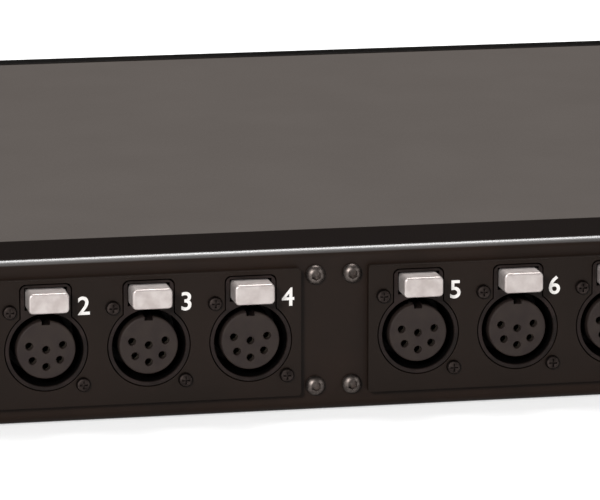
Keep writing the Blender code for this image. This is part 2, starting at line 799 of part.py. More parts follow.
def slot_outline(x, z):
    """A slot with round ends."""
    radius = SLOT_WIDTH / 2
    reach = SLOT_LENGTH / 2 - radius
    return arc((x + reach, z), radius, -90, 90, HOLE_SIDES // 2) + arc(
        (x - reach, z), radius, 90, 270, HOLE_SIDES // 2
    )


def socket_plate(name, sockets, male_socket=None):
    """A raised plate that carries sockets."""
    left, right = min(sockets) - SIDE_MARGIN, max(sockets) + SIDE_MARGIN
    low, high = SOCKET_Z - PLATE_DROP, SOCKET_Z + PLATE_TOP
    outlines = [rectangle((left + right) / 2, (low + high) / 2, right - left, high - low, PLATE_CORNER)]
    for x in sockets:
        outlines += socket_opening(x, male=x == male_socket)
    return part(blank(outlines, FACE_Y, FACE_Y + PLATE_THICK), name, "dark_brown_paint")


def housing_block():
    half = HOUSING_WIDTH / 2
    return block((-half, HOUSING_FRONT, -HOUSING_DROP), (half, HOUSING_BACK, HOUSING_TOP))


def socket_shell():
    """The housing of a female socket: bore, latch channel under a hood, and the finger's slot."""
    collar = blank(
        [keyhole(COLLAR_RADIUS, HOOD_HALF, HOOD_TOP, HOOD_CORNER)], 0, HOUSING_FRONT + OVERLAP
    )
    shell = join(housing_block(), collar)
    bore_end = INSERT_BACK + CLEAR
    bore = turned(
        [
            (0, -OVERCUT),
            (BORE_RADIUS, -OVERCUT),
            (BORE_RADIUS, bore_end),
            (BACK_OPENING, bore_end),
            (BACK_OPENING, HOUSING_BACK + OVERCUT),
            (0, HOUSING_BACK + OVERCUT),
        ]
    )
    half_tab, half_finger = TAB_WIDTH / 2 + CLEAR, FINGER_WIDTH / 2 + CLEAR
    channel = block(
        (-half_tab, -OVERCUT, TAB_LOW - CLEAR), (half_tab, CHANNEL_BACK, TAB_TOP + CLEAR)
    )
    finger_slot = block(
        (-half_finger, FINGER_FRONT - CLEAR, NOSE_RADIUS),
        (half_finger, FINGER_BACK + LATCH_TRAVEL + CLEAR, TAB_LOW),
    )
    return combine(shell, [bore, channel, finger_slot])


def pole_places(with_centre):
    """Where the contacts stand about the socket's axis, the middle one of the arc at the bottom."""
    places = []
    for i in range(-2, 3):
        angle = math.radians(-90 + i * POLE_STEP)
        places.append((POLE_CIRCLE / 2 * math.cos(angle), POLE_CIRCLE / 2 * math.sin(angle)))
    return places + [(0, 0)] * with_centre


def socket_insert(with_centre):
    """The nose that carries the contacts, with its keyway and contact holes."""
    flange_radius = BORE_RADIUS - CLEAR
    insert = turned(
        [
            (0, NOSE_RECESS),
            (NOSE_RADIUS - NOSE_CHAMFER, NOSE_RECESS),
            (NOSE_RADIUS, NOSE_RECESS + NOSE_CHAMFER),
            (NOSE_RADIUS, SHOULDER),
            (flange_radius, SHOULDER),
            (flange_radius, INSERT_BACK),
            (0, INSERT_BACK),
        ]
    )
    keyway = block(
        (-KEY_WIDTH / 2, NOSE_RECESS - OVERCUT, NOSE_RADIUS - KEY_DEPTH),
        (KEY_WIDTH / 2, SHOULDER - CLEAR, NOSE_RADIUS + OVERCUT),
    )
    holes = [
        rod_between(x, z, POLE_HOLE, NOSE_RECESS - OVERCUT, INSERT_BACK + OVERCUT)
        for x, z in pole_places(with_centre)
    ]
    return combine(insert, [keyway, *holes])


def socket_latch():
    """The push tab, its stem in the channel, and the finger that drops into the groove."""
    width, middle = TAB_WIDTH, (TAB_LOW + TAB_TOP) / 2
    stem = blank([rectangle(0, middle, width, TAB_HEIGHT, TAB_CORNER)], -TAB_PROUD, LATCH_BACK)
    bm = bmesh.new()
    bm.from_mesh(stem.data)
    bpy.data.objects.remove(stem, do_unlink=True)
    front = [e for e in bm.edges if all(v.co.y < OVERCUT - TAB_PROUD for v in e.verts)]
    rim = [e for e in front if any(abs(f.normal.y) < 0.5 for f in e.link_faces)]
    bmesh.ops.bevel(bm, geom=rim, offset=TAB_SOFTENING, segments=1, affect="EDGES")
    bmesh.ops.remove_doubles(bm, verts=bm.verts, dist=1e-6)
    stem = shape_from(bm)
    finger = block(
        (-FINGER_WIDTH / 2, FINGER_FRONT, BORE_RADIUS - FINGER_REACH),
        (FINGER_WIDTH / 2, FINGER_BACK, TAB_LOW + OVERLAP),
    )
    return join(stem, finger)


def male_shell():
    """The housing of the male data socket, with its round bore."""
    collar = rod_between(0, 0, COLLAR_RADIUS, 0, HOUSING_FRONT + OVERLAP, ROUND_SIDES)
    shell = join(housing_block(), collar)
    bore_end = INSERT_BACK + CLEAR
    bore = turned(
        [
            (0, -OVERCUT),
            (MALE_BORE, -OVERCUT),
            (MALE_BORE, bore_end),
            (BACK_OPENING, bore_end),
            (BACK_OPENING, HOUSING_BACK + OVERCUT),
            (0, HOUSING_BACK + OVERCUT),
        ]
    )
    return combine(shell, [bore])


def male_pins():
    """Five round-nosed pins in their carrier disc."""
    radius = MALE_BORE - CLEAR
    carrier = turned([(0, MALE_DEPTH), (radius, MALE_DEPTH), (radius, INSERT_BACK), (0, INSERT_BACK)])
    pins = []
    for x, z in pole_places(False):
        pin = turned(
            [
                (0, PIN_RECESS),
                (PIN_RADIUS / 2, PIN_RECESS),
                (PIN_RADIUS, PIN_RECESS + PIN_RADIUS),
                (PIN_RADIUS, MALE_DEPTH + OVERLAP),
                (0, MALE_DEPTH + OVERLAP),
            ],
            HOLE_SIDES,
        )
        pin.data.transform(Matrix.Translation((x, 0, z)))
        pins.append(pin)
    return join(carrier, *pins)


def contacts(sockets, with_centre):
    """Hollow contacts for each socket, from inside its nose to inside the board."""
    start, end = FACE_Y + NOSE_RECESS + CONTACT_RECESS, FACE_Y + BOARD_FACE + BOARD_THICK / 2
    found = []
    for socket in sockets:
        for x, z in pole_places(with_centre):
            found.append(contact(socket + x, SOCKET_Z + z, start, end))
    return found


def contact(x, z, start, end):
    tube = turned(
        [
            (0, start + CONTACT_DEPTH),
            (CONTACT_BORE, start + CONTACT_DEPTH),
            (CONTACT_BORE, start),
            (CONTACT_RADIUS, start),
            (CONTACT_RADIUS, end),
            (0, end),
        ],
        HOLE_SIDES,
    )
    tube.data.transform(Matrix.Translation((x, 0, z)))
    return tube


def header(x, y_low, y_high, z):
    """A connector body that a ribbon plugs into."""
    half_x, half_z = RIBBON_WIDTH / 2 + HEADER_MARGIN, HEADER_HEIGHT / 2
    return block((x - half_x, y_low, z - half_z), (x + half_x, y_high, z + half_z))


def socket_board(name, sockets, with_centre, header_x, female_sockets):
    """The upright board behind a row of sockets, with their contacts and its header."""
    left, right = min(sockets) - HOUSING_WIDTH / 2, max(sockets) + HOUSING_WIDTH / 2
    margin = OUTPUT_BOARD_MARGIN
    front, back = FACE_Y + BOARD_FACE, FACE_Y + BOARD_FACE + BOARD_THICK
    board = block(
        (left + margin, front, OUTPUT_BOARD_LOW),
        (right - margin, back, OUTPUT_BOARD_LOW + OUTPUT_BOARD_HEIGHT),
    )
    plug = header(header_x, back - OVERLAP, OUTPUT_HEADER_BACK, OUTPUT_HEADER_Z)
    return part(
        join(board, plug, *contacts(female_sockets, with_centre)), name, "green_circuit_board"
    )


def main_board():
    """The board that turns the data into analog levels, with its chips and headers."""
    left, right, rear, front = main_board_span()
    board = block((left, rear, BOARD_UNDERSIDE), (right, front, BOARD_TOP))
    pieces = []
    low = BOARD_TOP - OVERLAP
    for x in (-RIBBON_X, RIBBON_X):
        half = RIBBON_WIDTH / 2 + HEADER_MARGIN
        pieces.append(block((x - half, rear, low), (x + half, rear + HEADER_DEPTH, low + HEADER_HEIGHT)))
    for x in (-RIBBON_X, 0, RIBBON_X):
        y, half = (rear + front) / 2, CHIP_SIZE / 2
        pieces.append(block((x - half, y - half, low), (x + half, y + half, BOARD_TOP + CHIP_HEIGHT)))
    for side in (-1, 1):
        edge = side * MAIN_BOARD_WIDTH / 2
        inner = edge - side * TERMINAL_SIZE
        y = rear + MAIN_BOARD_DEPTH / 3
        half = TERMINAL_SIZE / 2
        pieces.append(
            block(
                (min(edge, inner), y - half, low),
                (max(edge, inner), y + half, BOARD_TOP + HEADER_HEIGHT),
            )
        )
    return part(join(board, *pieces), "main_board", "green_circuit_board")


def ribbon(name, x):
    """A flat cable from an output board, along the floor, to the main board."""
    start, end = OUTPUT_HEADER_BACK + CLEAR, MAIN_BOARD_REAR - CLEAR
    floor = SHEET + CLEAR + RIBBON_THICK
    high, low = OUTPUT_HEADER_Z, MAIN_HEADER_Z
    line = rounded(
        [
            (start, high, 0),
            (start + RIBBON_RUN, high, RIBBON_BEND),
            (start + RIBBON_RUN + RIBBON_DROP, floor, RIBBON_BEND),
            (end - RIBBON_RUN - RIBBON_DROP, floor, RIBBON_BEND),
            (end - RIBBON_RUN, low, RIBBON_BEND),
            (end, low, 0),
        ],
        BEND_STEPS,
        is_open=True,
    )
    strip = bent_sheet(line, RIBBON_THICK, x - RIBBON_WIDTH / 2, x + RIBBON_WIDTH / 2, "X")
    return part(strip, name, "grey_ribbon")


def power_supply_board():
    """The supply's board, with its capacitor, and terminals for the leads."""
    left, right, rear, front = supply_board_span()
    board = block((left, rear, BOARD_UNDERSIDE), (right, front, BOARD_TOP))
    low, half = BOARD_TOP - OVERLAP, TERMINAL_SIZE / 2
    mains = block(
        (SUPPLY_X - half, front - TERMINAL_SIZE, low), (SUPPLY_X + half, front, BOARD_TOP + TERMINAL_SIZE)
    )
    y = MAIN_BOARD_REAR + MAIN_BOARD_DEPTH / 3
    y = min(y, front - 2 * TERMINAL_SIZE)
    direct = block((left, y - half, low), (left + TERMINAL_SIZE, y + half, BOARD_TOP + TERMINAL_SIZE))
    top = BOARD_TOP + CAPACITOR_HEIGHT
    capacitor_y = rear + SUPPLY_DEPTH * CAPACITOR_PLACE
    capacitor = rod((SUPPLY_X, capacitor_y, (low + top) / 2), CAPACITOR_RADIUS, top - low, "Z", ROUND_SIDES)
    return part(join(board, mains, direct, capacitor), "power_supply_board", "green_circuit_board")


def transformer():
    """The supply's transformer: a laminated core round its winding."""
    y, bottom = SUPPLY_REAR + WINDING_DEPTH / 2 + 2 * BOARD_INSET, BOARD_TOP + CLEAR
    core = block(
        (SUPPLY_X - CORE_WIDTH / 2, y - CORE_DEPTH / 2, bottom),
        (SUPPLY_X + CORE_WIDTH / 2, y + CORE_DEPTH / 2, bottom + CORE_HEIGHT),
    )
    lift = (CORE_HEIGHT - WINDING_HEIGHT) / 2
    winding = blank(
        [rectangle(SUPPLY_X, bottom + CORE_HEIGHT / 2, WINDING_WIDTH, WINDING_HEIGHT, lift)],
        y - WINDING_DEPTH / 2,
        y + WINDING_DEPTH / 2,
    )
    return part(join(core, winding), "transformer", "transformer_iron")


def centre_bracket():
    """The angle behind the centre strip, from the rear wall to the bottom."""
    back, top = WALL_Y + SHEET + CLEAR, CASE_HEIGHT - SHEET - BRACKET_TOP_GAP
    floor = SHEET + CLEAR
    line = rounded(
        [(back, top, 0), (back, floor, BEND_RADIUS), (back + BRACKET_FOOT, floor, 0)],
        BEND_STEPS,
        is_open=True,
    )
    angle = bent_sheet(line, SHEET, -BRACKET_WIDTH / 2, BRACKET_WIDTH / 2, "X")
    holes = blank(
        [circle(x, z, STRIP_SCREW_SHANK + CLEAR) for x, z in strip_screw_places()],
        back - OVERCUT,
        back + SHEET + OVERCUT,
    )
    return part(combine(angle, [holes]), "centre_bracket", "zinc_plated_steel")


def strip_screws():
    """Four domed screws through the centre strip into the bracket."""
    shoulder, height = STRIP_SCREW_SHOULDER
    screw = turned(
        [
            (0, -STRIP_SCREW_DOME),
            (STRIP_SCREW_HEAD * STRIP_SCREW_TOP, -STRIP_SCREW_DOME),
            (STRIP_SCREW_HEAD * shoulder, -STRIP_SCREW_DOME * height),
            (STRIP_SCREW_HEAD, 0),
            (STRIP_SCREW_SHANK, 0),
            (STRIP_SCREW_SHANK, STRIP_SCREW_LENGTH),
            (0, STRIP_SCREW_LENGTH),
        ],
        ROUND_SIDES // 2,
    )
    places = [(x, WALL_Y - CLEAR, z) for x, z in strip_screw_places()]
    names = [f"strip_screw_{i + 1}" for i in range(len(places))]
    copies(screw, names, places, "black_oxide_steel")


def mains_inlet():
    """The inlet's moulded body, open right through, with its flange outside the wall."""
    flange_back = WALL_Y - CLEAR
    flange_front = flange_back - INLET_FLANGE_THICK
    flange = blank(
        [rectangle(INLET_X, MID_Z, INLET_FLANGE_WIDTH, INLET_FLANGE_HEIGHT, INLET_CORNER)],
        flange_front,
        flange_back,
    )
    body_back = flange_front + INLET_DEPTH + INLET_BASE
    body = blank([inlet_outline(INLET_WALL)], flange_back - OVERLAP, body_back)
    cavity = blank([inlet_outline()], flange_front - OVERCUT, body_back + OVERCUT)
    shell = combine(join(flange, body), [cavity])
    return part(shell, "mains_inlet", "black_moulded_nylon")


def mains_inlet_pins():
    """The inlet's base with its three blades in front and their tags behind."""
    face = WALL_Y - CLEAR - INLET_FLANGE_THICK
    base_front, base_back = face + INLET_DEPTH, face + INLET_DEPTH + INLET_BASE
    base = blank([inlet_outline(-CLEAR)], base_front, base_back)
    pieces = []
    for x, z in ((-BLADE_SPACING / 2, 0), (BLADE_SPACING / 2, 0), (0, EARTH_RISE)):
        px, pz = INLET_X + x, MID_Z + z - EARTH_RISE / 2
        pieces.append(
            block(
                (px - BLADE_WIDTH / 2, base_front - BLADE_LENGTH, pz - BLADE_HEIGHT / 2),
                (px + BLADE_WIDTH / 2, base_front + OVERLAP, pz + BLADE_HEIGHT / 2),
            )
        )
        pieces.append(
            block(
                (px - TAG_THICK / 2, base_back - OVERLAP, pz - TAG_WIDTH / 2),
                (px + TAG_THICK / 2, base_back + TAG_LENGTH, pz + TAG_WIDTH / 2),
            )
        )
    return part(join(base, *pieces), "mains_inlet_pins", "tin_plated_brass")


def switch_housing():
    """The power switch's body and bezel, with the hollow that the rocker swings in."""
    bezel_back = PANEL_FACE_Y + CLEAR
    face = bezel_back + BEZEL_THICK
    bezel = blank(
        [
            rectangle(
                SWITCH_X,
                PANEL_MID_Z,
                SWITCH_WIDTH + 2 * BEZEL_BORDER,
                SWITCH_HEIGHT + 2 * BEZEL_BORDER,
                PLATE_CORNER,
            )
        ],
        bezel_back,
        face,
    )
    half_x, half_z = SWITCH_WIDTH / 2, SWITCH_HEIGHT / 2
    body = block(
        (SWITCH_X - half_x, face - SWITCH_BODY_DEPTH, PANEL_MID_Z - half_z),
        (SWITCH_X + half_x, bezel_back + OVERLAP, PANEL_MID_Z + half_z),
    )
    hollow_x, hollow_z = half_x - SWITCH_WALL, half_z - SWITCH_WALL
    hollow = block(
        (SWITCH_X - hollow_x, face - SWITCH_CAVITY, PANEL_MID_Z - hollow_z),
        (SWITCH_X + hollow_x, face + OVERCUT, PANEL_MID_Z + hollow_z),
    )
    bearing = rod(
        (SWITCH_X, face - PIVOT_DEPTH, PANEL_MID_Z),
        PIVOT_RADIUS + CLEAR,
        2 * hollow_x + SWITCH_WALL,
        "X",
        PIVOT_SIDES,
    )
    pieces = []
    for side in (-1, 1):
        x = SWITCH_X + side * SWITCH_WIDTH / 4
        back = face - SWITCH_BODY_DEPTH
        pieces.append(
            block(
                (x - TAG_THICK / 2, back - TAG_LENGTH, PANEL_MID_Z - TAG_WIDTH / 2),
                (x + TAG_THICK / 2, back + OVERLAP, PANEL_MID_Z + TAG_WIDTH / 2),
            )
        )
    shell = combine(join(bezel, body, *pieces), [hollow, bearing])
    return part(shell, "switch_housing", "black_moulded_nylon")


def switch_rocker():
    """The rocker, at rest with its lower tip pressed in, on its two stub pivots."""
    face = PANEL_FACE_Y + CLEAR + BEZEL_THICK
    pivot = Vector((SWITCH_X, face - PIVOT_DEPTH, PANEL_MID_Z))
    half_x = SWITCH_WIDTH / 2 - SWITCH_WALL - CLEAR
    outline = [
        (ROCKER_TIP, ROCKER_HALF),
        (ROCKER_VALLEY, 0),
        (ROCKER_TIP, -ROCKER_HALF),
        (-PIVOT_RADIUS / 2, -ROCKER_HALF),
        (-ROCKER_ROOT, -ROCKER_HALF / 3),
        (-ROCKER_ROOT, ROCKER_HALF / 3),
        (-PIVOT_RADIUS / 2, ROCKER_HALF),
    ]
    rocker = blank([outline], -half_x, half_x)
    rocker.data.transform(Matrix.Rotation(math.radians(90), 4, "Z"))
    stub = rod((0, 0, 0), PIVOT_RADIUS, 2 * half_x + SWITCH_WALL, "X", PIVOT_SIDES)
    rocker = join(rocker, stub)
    rocker.data.transform(Matrix.Translation(pivot) @ Matrix.Rotation(-SWING, 4, "X"))
    return part(rocker, "switch_rocker", "black_moulded_nylon", pivot)


def address_dials():
    """Three fluted dials that set the address, each with a screwdriver slot as its pointer."""
    fluted = []
    count = FLUTE_POINTS * DIAL_FLUTES
    for i in range(count):
        angle = 2 * math.pi * i / count
        radius = DIAL_RADIUS - DIAL_FLUTE_DEPTH * (1 - math.cos(DIAL_FLUTES * angle)) / 2
        fluted.append((radius * math.cos(angle), radius * math.sin(angle)))
    face = PANEL_FACE_Y + DIAL_PROUD
    back = FRONT_Y + CLEAR
    knob = blank([fluted], back, face)
    shaft = rod_between(0, 0, DIAL_SHAFT, CODE_SWITCH_FACE - DIAL_SHAFT_REACH, back + OVERLAP)
    pointer = block(
        (-DIAL_SLOT_WIDTH / 2, face - DIAL_SLOT_DEPTH, -DIAL_RADIUS / 4),
        (DIAL_SLOT_WIDTH / 2, face + OVERCUT, DIAL_RADIUS + OVERCUT),
    )
    dial = combine(join(knob, shaft), [pointer])
    places = [(x, 0, PANEL_MID_Z) for x in dial_places()]
    names = [f"address_dial_{i + 1}" for i in range(DIAL_COUNT)]
    copies(dial, names, places, "white_dial_nylon")


def front_board():
    """The upright board behind the rack panel, with the code switches and the two lamps."""
    xs = dial_places() + lamp_places()
    left, right = min(xs) - FRONT_BOARD_MARGIN, max(xs) + FRONT_BOARD_MARGIN
    low = BOARD_TOP + CLEAR
    board = block(
        (left, FRONT_BOARD_BACK, low), (right, FRONT_BOARD_FACE, low + FRONT_BOARD_HEIGHT)
    )
    half = CODE_SWITCH_SIZE / 2
    pieces = [
        block(
            (x - half, FRONT_BOARD_FACE - OVERLAP, PANEL_MID_Z - half),
            (x + half, CODE_SWITCH_FACE, PANEL_MID_Z + half),
        )
        for x in dial_places()
    ]
    pieces += [
        rod_between(x, PANEL_MID_Z, LAMP_RADIUS, FRONT_BOARD_FACE - OVERLAP, PANEL_FACE_Y)
        for x in lamp_places()
    ]
    middle = (left + right) / 2
    pieces.append(
        block(
            (middle - RIBBON_WIDTH / 2, FRONT_BOARD_BACK - HEADER_DEPTH, low),
            (middle + RIBBON_WIDTH / 2, FRONT_BOARD_BACK + OVERLAP, low + HEADER_HEIGHT / 2),
        )
    )
    reach = CODE_SWITCH_FACE - DIAL_SHAFT_REACH - CLEAR
    holes = [
        rod_between(x, PANEL_MID_Z, DIAL_SHAFT + CLEAR, reach, CODE_SWITCH_FACE + OVERCUT)
        for x in dial_places()
    ]
    return part(combine(join(board, *pieces), holes), "front_board", "green_circuit_board")


def leads():
    """The leads inside: mains to the switch, switch to supply, supply to board, data to board."""
    tags = WALL_Y - CLEAR - INLET_FLANGE_THICK + INLET_DEPTH + INLET_BASE + TAG_LENGTH + CLEAR
    switch_back = PANEL_FACE_Y + CLEAR + BEZEL_THICK - SWITCH_BODY_DEPTH - TAG_LENGTH - CLEAR
    side = SIDE_X - SHEET - 3 * MAINS_LEAD_RADIUS
    floor = SHEET + 2 * MAINS_LEAD_RADIUS
    half_switch = SWITCH_WIDTH / 4
    lead(
        "mains_lead",
        [
            (INLET_X, tags, MID_Z),
            (INLET_X + MAINS_LEAD_ASIDE, tags + LEAD_START, MID_Z),
            (side, tags + LEAD_SETTLE, floor),
            (side, (tags + switch_back) / 2, floor),
            (side, switch_back - LEAD_SETTLE, floor),
            (SWITCH_X + half_switch, switch_back - LEAD_START, PANEL_MID_Z),
            (SWITCH_X + half_switch, switch_back, PANEL_MID_Z),
        ],
        MAINS_LEAD_RADIUS,
    )
    terminal_z = BOARD_TOP + TERMINAL_SIZE / 2
    lead(
        "supply_lead",
        [
            (SWITCH_X - half_switch, switch_back, PANEL_MID_Z),
            (SWITCH_X - half_switch, switch_back - LEAD_START, PANEL_MID_Z),
            (SUPPLY_X, SUPPLY_FRONT + SUPPLY_LEAD_START, terminal_z),
            (SUPPLY_X, SUPPLY_FRONT + CLEAR, terminal_z),
        ],
        MAINS_LEAD_RADIUS,
    )
    board_edge, board_y = MAIN_BOARD_WIDTH / 2, MAIN_BOARD_REAR + MAIN_BOARD_DEPTH / 3
    supply_edge = SUPPLY_X - SUPPLY_WIDTH / 2
    supply_y = min(board_y, SUPPLY_FRONT - 2 * TERMINAL_SIZE)
    header_z = BOARD_TOP + HEADER_HEIGHT / 2
    lead(
        "direct_current_lead",
        [
            (supply_edge - CLEAR, supply_y, terminal_z),
            (supply_edge - DIRECT_LEAD_START, supply_y, terminal_z),
            (board_edge + DIRECT_LEAD_START, board_y, header_z),
            (board_edge + CLEAR, board_y, header_z),
        ],
        DATA_LEAD_RADIUS,
    )
    data_x = (DMX_IN_X + DMX_THRU_X) / 2
    lead(
        "data_lead",
        [
            (data_x, OUTPUT_HEADER_BACK + CLEAR, OUTPUT_HEADER_Z),
            (data_x, OUTPUT_HEADER_BACK + DATA_LEAD_START, OUTPUT_HEADER_Z),
            (data_x + DATA_LEAD_ASIDE, (OUTPUT_HEADER_BACK + board_y) / 2, SHEET + 2 * DATA_LEAD_RADIUS),
            (-board_edge - LEAD_START, board_y, header_z),
            (-board_edge - CLEAR, board_y, header_z),
        ],
        DATA_LEAD_RADIUS,
    )


def sockets():
    """The eight analog outputs, numbered from the left as seen from the rear, and the data sockets."""
    centres = sorted([-x for x in OUTPUT_X] + OUTPUT_X)
    places = [(x, FACE_Y, SOCKET_Z) for x in centres]
    names = [f"output_{i + 1}" for i in range(len(places))]
    thru = (DMX_THRU_X, FACE_Y, SOCKET_Z)
    shell_names = [f"{name}_shell" for name in names] + ["dmx_thru_shell"]
    latch_names = [f"{name}_latch" for name in names] + ["dmx_thru_latch"]
    copies(socket_shell(), shell_names, places + [thru], "black_moulded_nylon")
    copies(socket_latch(), latch_names, places + [thru], "nickel_plated_zinc")
    copies(socket_insert(True), [f"{name}_insert" for name in names], places, "dark_insert_nylon")
    copies(socket_insert(False), ["dmx_thru_insert"], [thru], "dark_insert_nylon")
    male = (DMX_IN_X, FACE_Y, SOCKET_Z)
    copies(male_shell(), ["dmx_in_shell"], [male], "black_moulded_nylon")
    copies(male_pins(), ["dmx_in_pins"], [male], "tin_plated_brass")


def build():
    chassis_tray()
    top_cover()
    front_panel()
    left, right = [-x for x in OUTPUT_X], OUTPUT_X
    data = [DMX_IN_X, DMX_THRU_X]
    socket_plate("left_output_plate", left)
    socket_plate("right_output_plate", right)
    socket_plate("dmx_plate", data, male_socket=DMX_IN_X)
    sockets()
    socket_board("left_output_board", left, True, -RIBBON_X, left)
    socket_board("right_output_board", right, True, RIBBON_X, right)
    socket_board("dmx_board", data, False, (DMX_IN_X + DMX_THRU_X) / 2, [DMX_THRU_X])
    centre_bracket()
    strip_screws()
    main_board()
    ribbon("left_ribbon", -RIBBON_X)
    ribbon("right_ribbon", RIBBON_X)
    power_supply_board()
    transformer()
    mains_inlet()
    mains_inlet_pins()
    switch_housing()
    switch_rocker()
    address_dials()
    front_board()
    leads()


build()
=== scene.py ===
"""The looks of a one-unit digital to analog converter for stage lighting, round its CAD frame."""

import math

import bmesh
import bpy
from bpy.props import FloatProperty, IntProperty, PointerProperty, StringProperty
from mathutils import Matrix, Vector


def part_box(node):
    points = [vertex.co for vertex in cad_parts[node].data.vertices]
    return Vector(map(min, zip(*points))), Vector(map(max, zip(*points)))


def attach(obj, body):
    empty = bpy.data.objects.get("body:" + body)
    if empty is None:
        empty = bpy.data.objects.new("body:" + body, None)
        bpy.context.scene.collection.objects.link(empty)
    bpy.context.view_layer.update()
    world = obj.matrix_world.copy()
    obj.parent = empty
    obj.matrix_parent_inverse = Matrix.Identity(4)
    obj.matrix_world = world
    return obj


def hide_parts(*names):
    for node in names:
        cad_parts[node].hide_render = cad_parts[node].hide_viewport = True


bl_info = {
    "name": "Lighting converter",
    "version": (1, 0, 0),
    "blender": (4, 5, 0),
    "location": "3D View > Sidebar > Converter",
    "description": "Dresses the frame of a rack-mounted digital to analog converter",
    "category": "Object",
}

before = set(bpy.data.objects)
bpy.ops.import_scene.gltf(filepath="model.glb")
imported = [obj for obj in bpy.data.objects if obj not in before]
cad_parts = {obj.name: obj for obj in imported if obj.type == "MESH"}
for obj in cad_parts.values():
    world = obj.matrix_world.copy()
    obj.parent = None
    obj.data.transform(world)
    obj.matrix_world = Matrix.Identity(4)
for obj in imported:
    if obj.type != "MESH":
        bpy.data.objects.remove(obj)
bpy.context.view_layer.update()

CASE = "case"
OUTPUTS = [f"output_{number}" for number in range(1, 9)]
FEMALES = OUTPUTS + ["dmx_thru"]
SOCKETS = FEMALES + ["dmx_in"]
PLATES = {
    "left_output_plate": OUTPUTS[:4],
    "right_output_plate": OUTPUTS[4:],
    "dmx_plate": ["dmx_in", "dmx_thru"],
}
STRIP_SCREWS = [f"strip_screw_{number}" for number in range(1, 5)]
DIALS = [f"address_dial_{number}" for number in range(1, 4)]

MM = 0.001
FINE_ROUND = 96  # sides of the sockets' mouths and noses, which the camera is closest to
ROUND = 64  # sides of other round shapes that are seen close
SMALL_ROUND = 24
CUT = 1.0 * MM  # how far a cutter runs past what it cuts
RUN_IN = 0.6 * MM  # how far two shapes that are joined run into each other
APART = 0.01 * MM  # keeps two bodies of one piece from sharing a face
ON_FACE = 0.01 * MM  # edges this close behind a face count as its own
SAME = 1e-6  # places this close count as one
PRINT = 0.03 * MM  # how far the middle of the printed ink stands off its face
FRONT = 4.1 * MM  # from a socket's face to its housing's block, behind plate and wall
TAIL = 6.8 * MM  # radius of the opening in the back of a socket's housing


# Sizes and colours that a user would change


def length(name, description, millimetres):
    return FloatProperty(
        name=name, description=description, default=millimetres * MM, min=0.0, unit="LENGTH", precision=5
    )


def colour(name, description, code):
    return StringProperty(name=name, description=description, default=code)


class CaseSizes(bpy.types.PropertyGroup):
    sheet: length("Sheet", "Thickness of the case's sheet steel", 1.5)
    bend: length("Bend radius", "Outer radius of the sheet's bends", 2.5)
    clear: length("Clearance", "Gap between two pieces that touch", 0.3)
    rear_flange: length("Rear flange", "Depth of the tray's flange over the sockets", 24.0)
    front_flange: length("Front flange", "Depth of the tray's flange behind the rack panel", 4.0)
    ledge: length("Ledge", "Width of the lowered edge that the cover lies on", 9.0)
    side_flange: length("Side flange", "Height of the tray's side flanges", 12.0)
    panel_corner: length("Panel corner", "Corner radius of the rack panel", 0.8)
    plate_corner: length("Plate corner", "Corner radius of the raised plates", 0.8)
    edge: length("Edge", "Rounding of cut sheet edges", 0.2)
    slot_length: length("Slot length", "Length of a rack slot", 10.3)
    slot_width: length("Slot width", "Width of a rack slot", 6.8)
    slot_across: length("Slot spacing across", "Distance between the slots of both ears", 465.1)
    slot_up: length("Slot spacing up", "Distance between the two slots of an ear", 31.75)


class SocketSizes(bpy.types.PropertyGroup):
    bore: length("Bore", "Radius of the opening that the plug enters", 9.6)
    collar: length("Collar", "Outer radius of the collar round the bore", 10.6)
    nose: length("Nose", "Radius of the insert's nose", 7.7)
    nose_recess: length("Nose recess", "How far the nose lies behind the collar's face", 0.4)
    drop: length("Drop", "From the socket's axis to the housing's bottom", 12.8)
    contact_circle: length("Contact circle", "Diameter of the circle of contacts", 9.0)
    contact_step: FloatProperty(
        name="Contact step",
        description="Angle from one contact on the circle to the next",
        default=math.radians(52),
        subtype="ANGLE",
    )
    contact_hole: length("Contact hole", "Radius of a contact's hole in the nose", 1.35)
    contact_mouth: length("Contact mouth", "Radius of that hole's narrower mouth", 1.0)
    mouth_depth: length("Mouth depth", "How far in the mouth is narrow", 1.5)
    contact_bore: length("Contact bore", "Inner radius of a hollow contact", 0.85)
    numeral: length("Numeral", "Height of the printed numerals", 4.9)
    screw_head: length("Screw head", "Radius of a socket screw's head", 1.9)


class FrontSizes(bpy.types.PropertyGroup):
    dial_flutes: IntProperty(name="Flutes", description="Flutes round a dial", default=16, min=6, max=40)
    numeral: length("Dial numeral", "Height of the numerals round a dial", 1.7)
    numeral_circle: length("Numeral circle", "Radius of the ring of numerals", 7.0)


class FinishColours(bpy.types.PropertyGroup):
    case: colour("Case", "Powder coat of the tray and the raised plates", "#201611")
    cover: colour("Cover", "Powder coat of the cover", "#57514d")
    panel: colour("Rack panel", "Anodised rack panel", "#191615")
    socket: colour("Sockets", "Moulded nylon of the sockets' housings", "#211b19")
    insert: colour("Inserts", "Moulded nylon of the sockets' noses", "#2c2421")
    print: colour("Print", "Printed numerals", "#e6e2de")


# Mesh tools


def ready():
    """Object mode with nothing selected."""
    if bpy.context.object and bpy.context.object.mode != "OBJECT":
        bpy.ops.object.mode_set(mode="OBJECT")
    bpy.ops.object.select_all(action="DESELECT")


def only(obj):
    """Select one object and make it active."""
    ready()
    obj.select_set(True)
    bpy.context.view_layer.objects.active = obj


def settled(obj):
    """The object with its place and size put into its mesh."""
    only(obj)
    bpy.ops.object.transform_apply(location=True, rotation=True, scale=True)
    return obj


def cube(low, high):
    ready()
    bpy.ops.mesh.primitive_cube_add(size=1, location=(Vector(low) + Vector(high)) / 2)
    bpy.context.object.scale = Vector(high) - Vector(low)
    return settled(bpy.context.object)


def bar(x, z, half_x, half_z, y_start, y_end):
    """A block along Y, round a line at x and z."""
    return cube((x - half_x, y_start, z - half_z), (x + half_x, y_end, z + half_z))


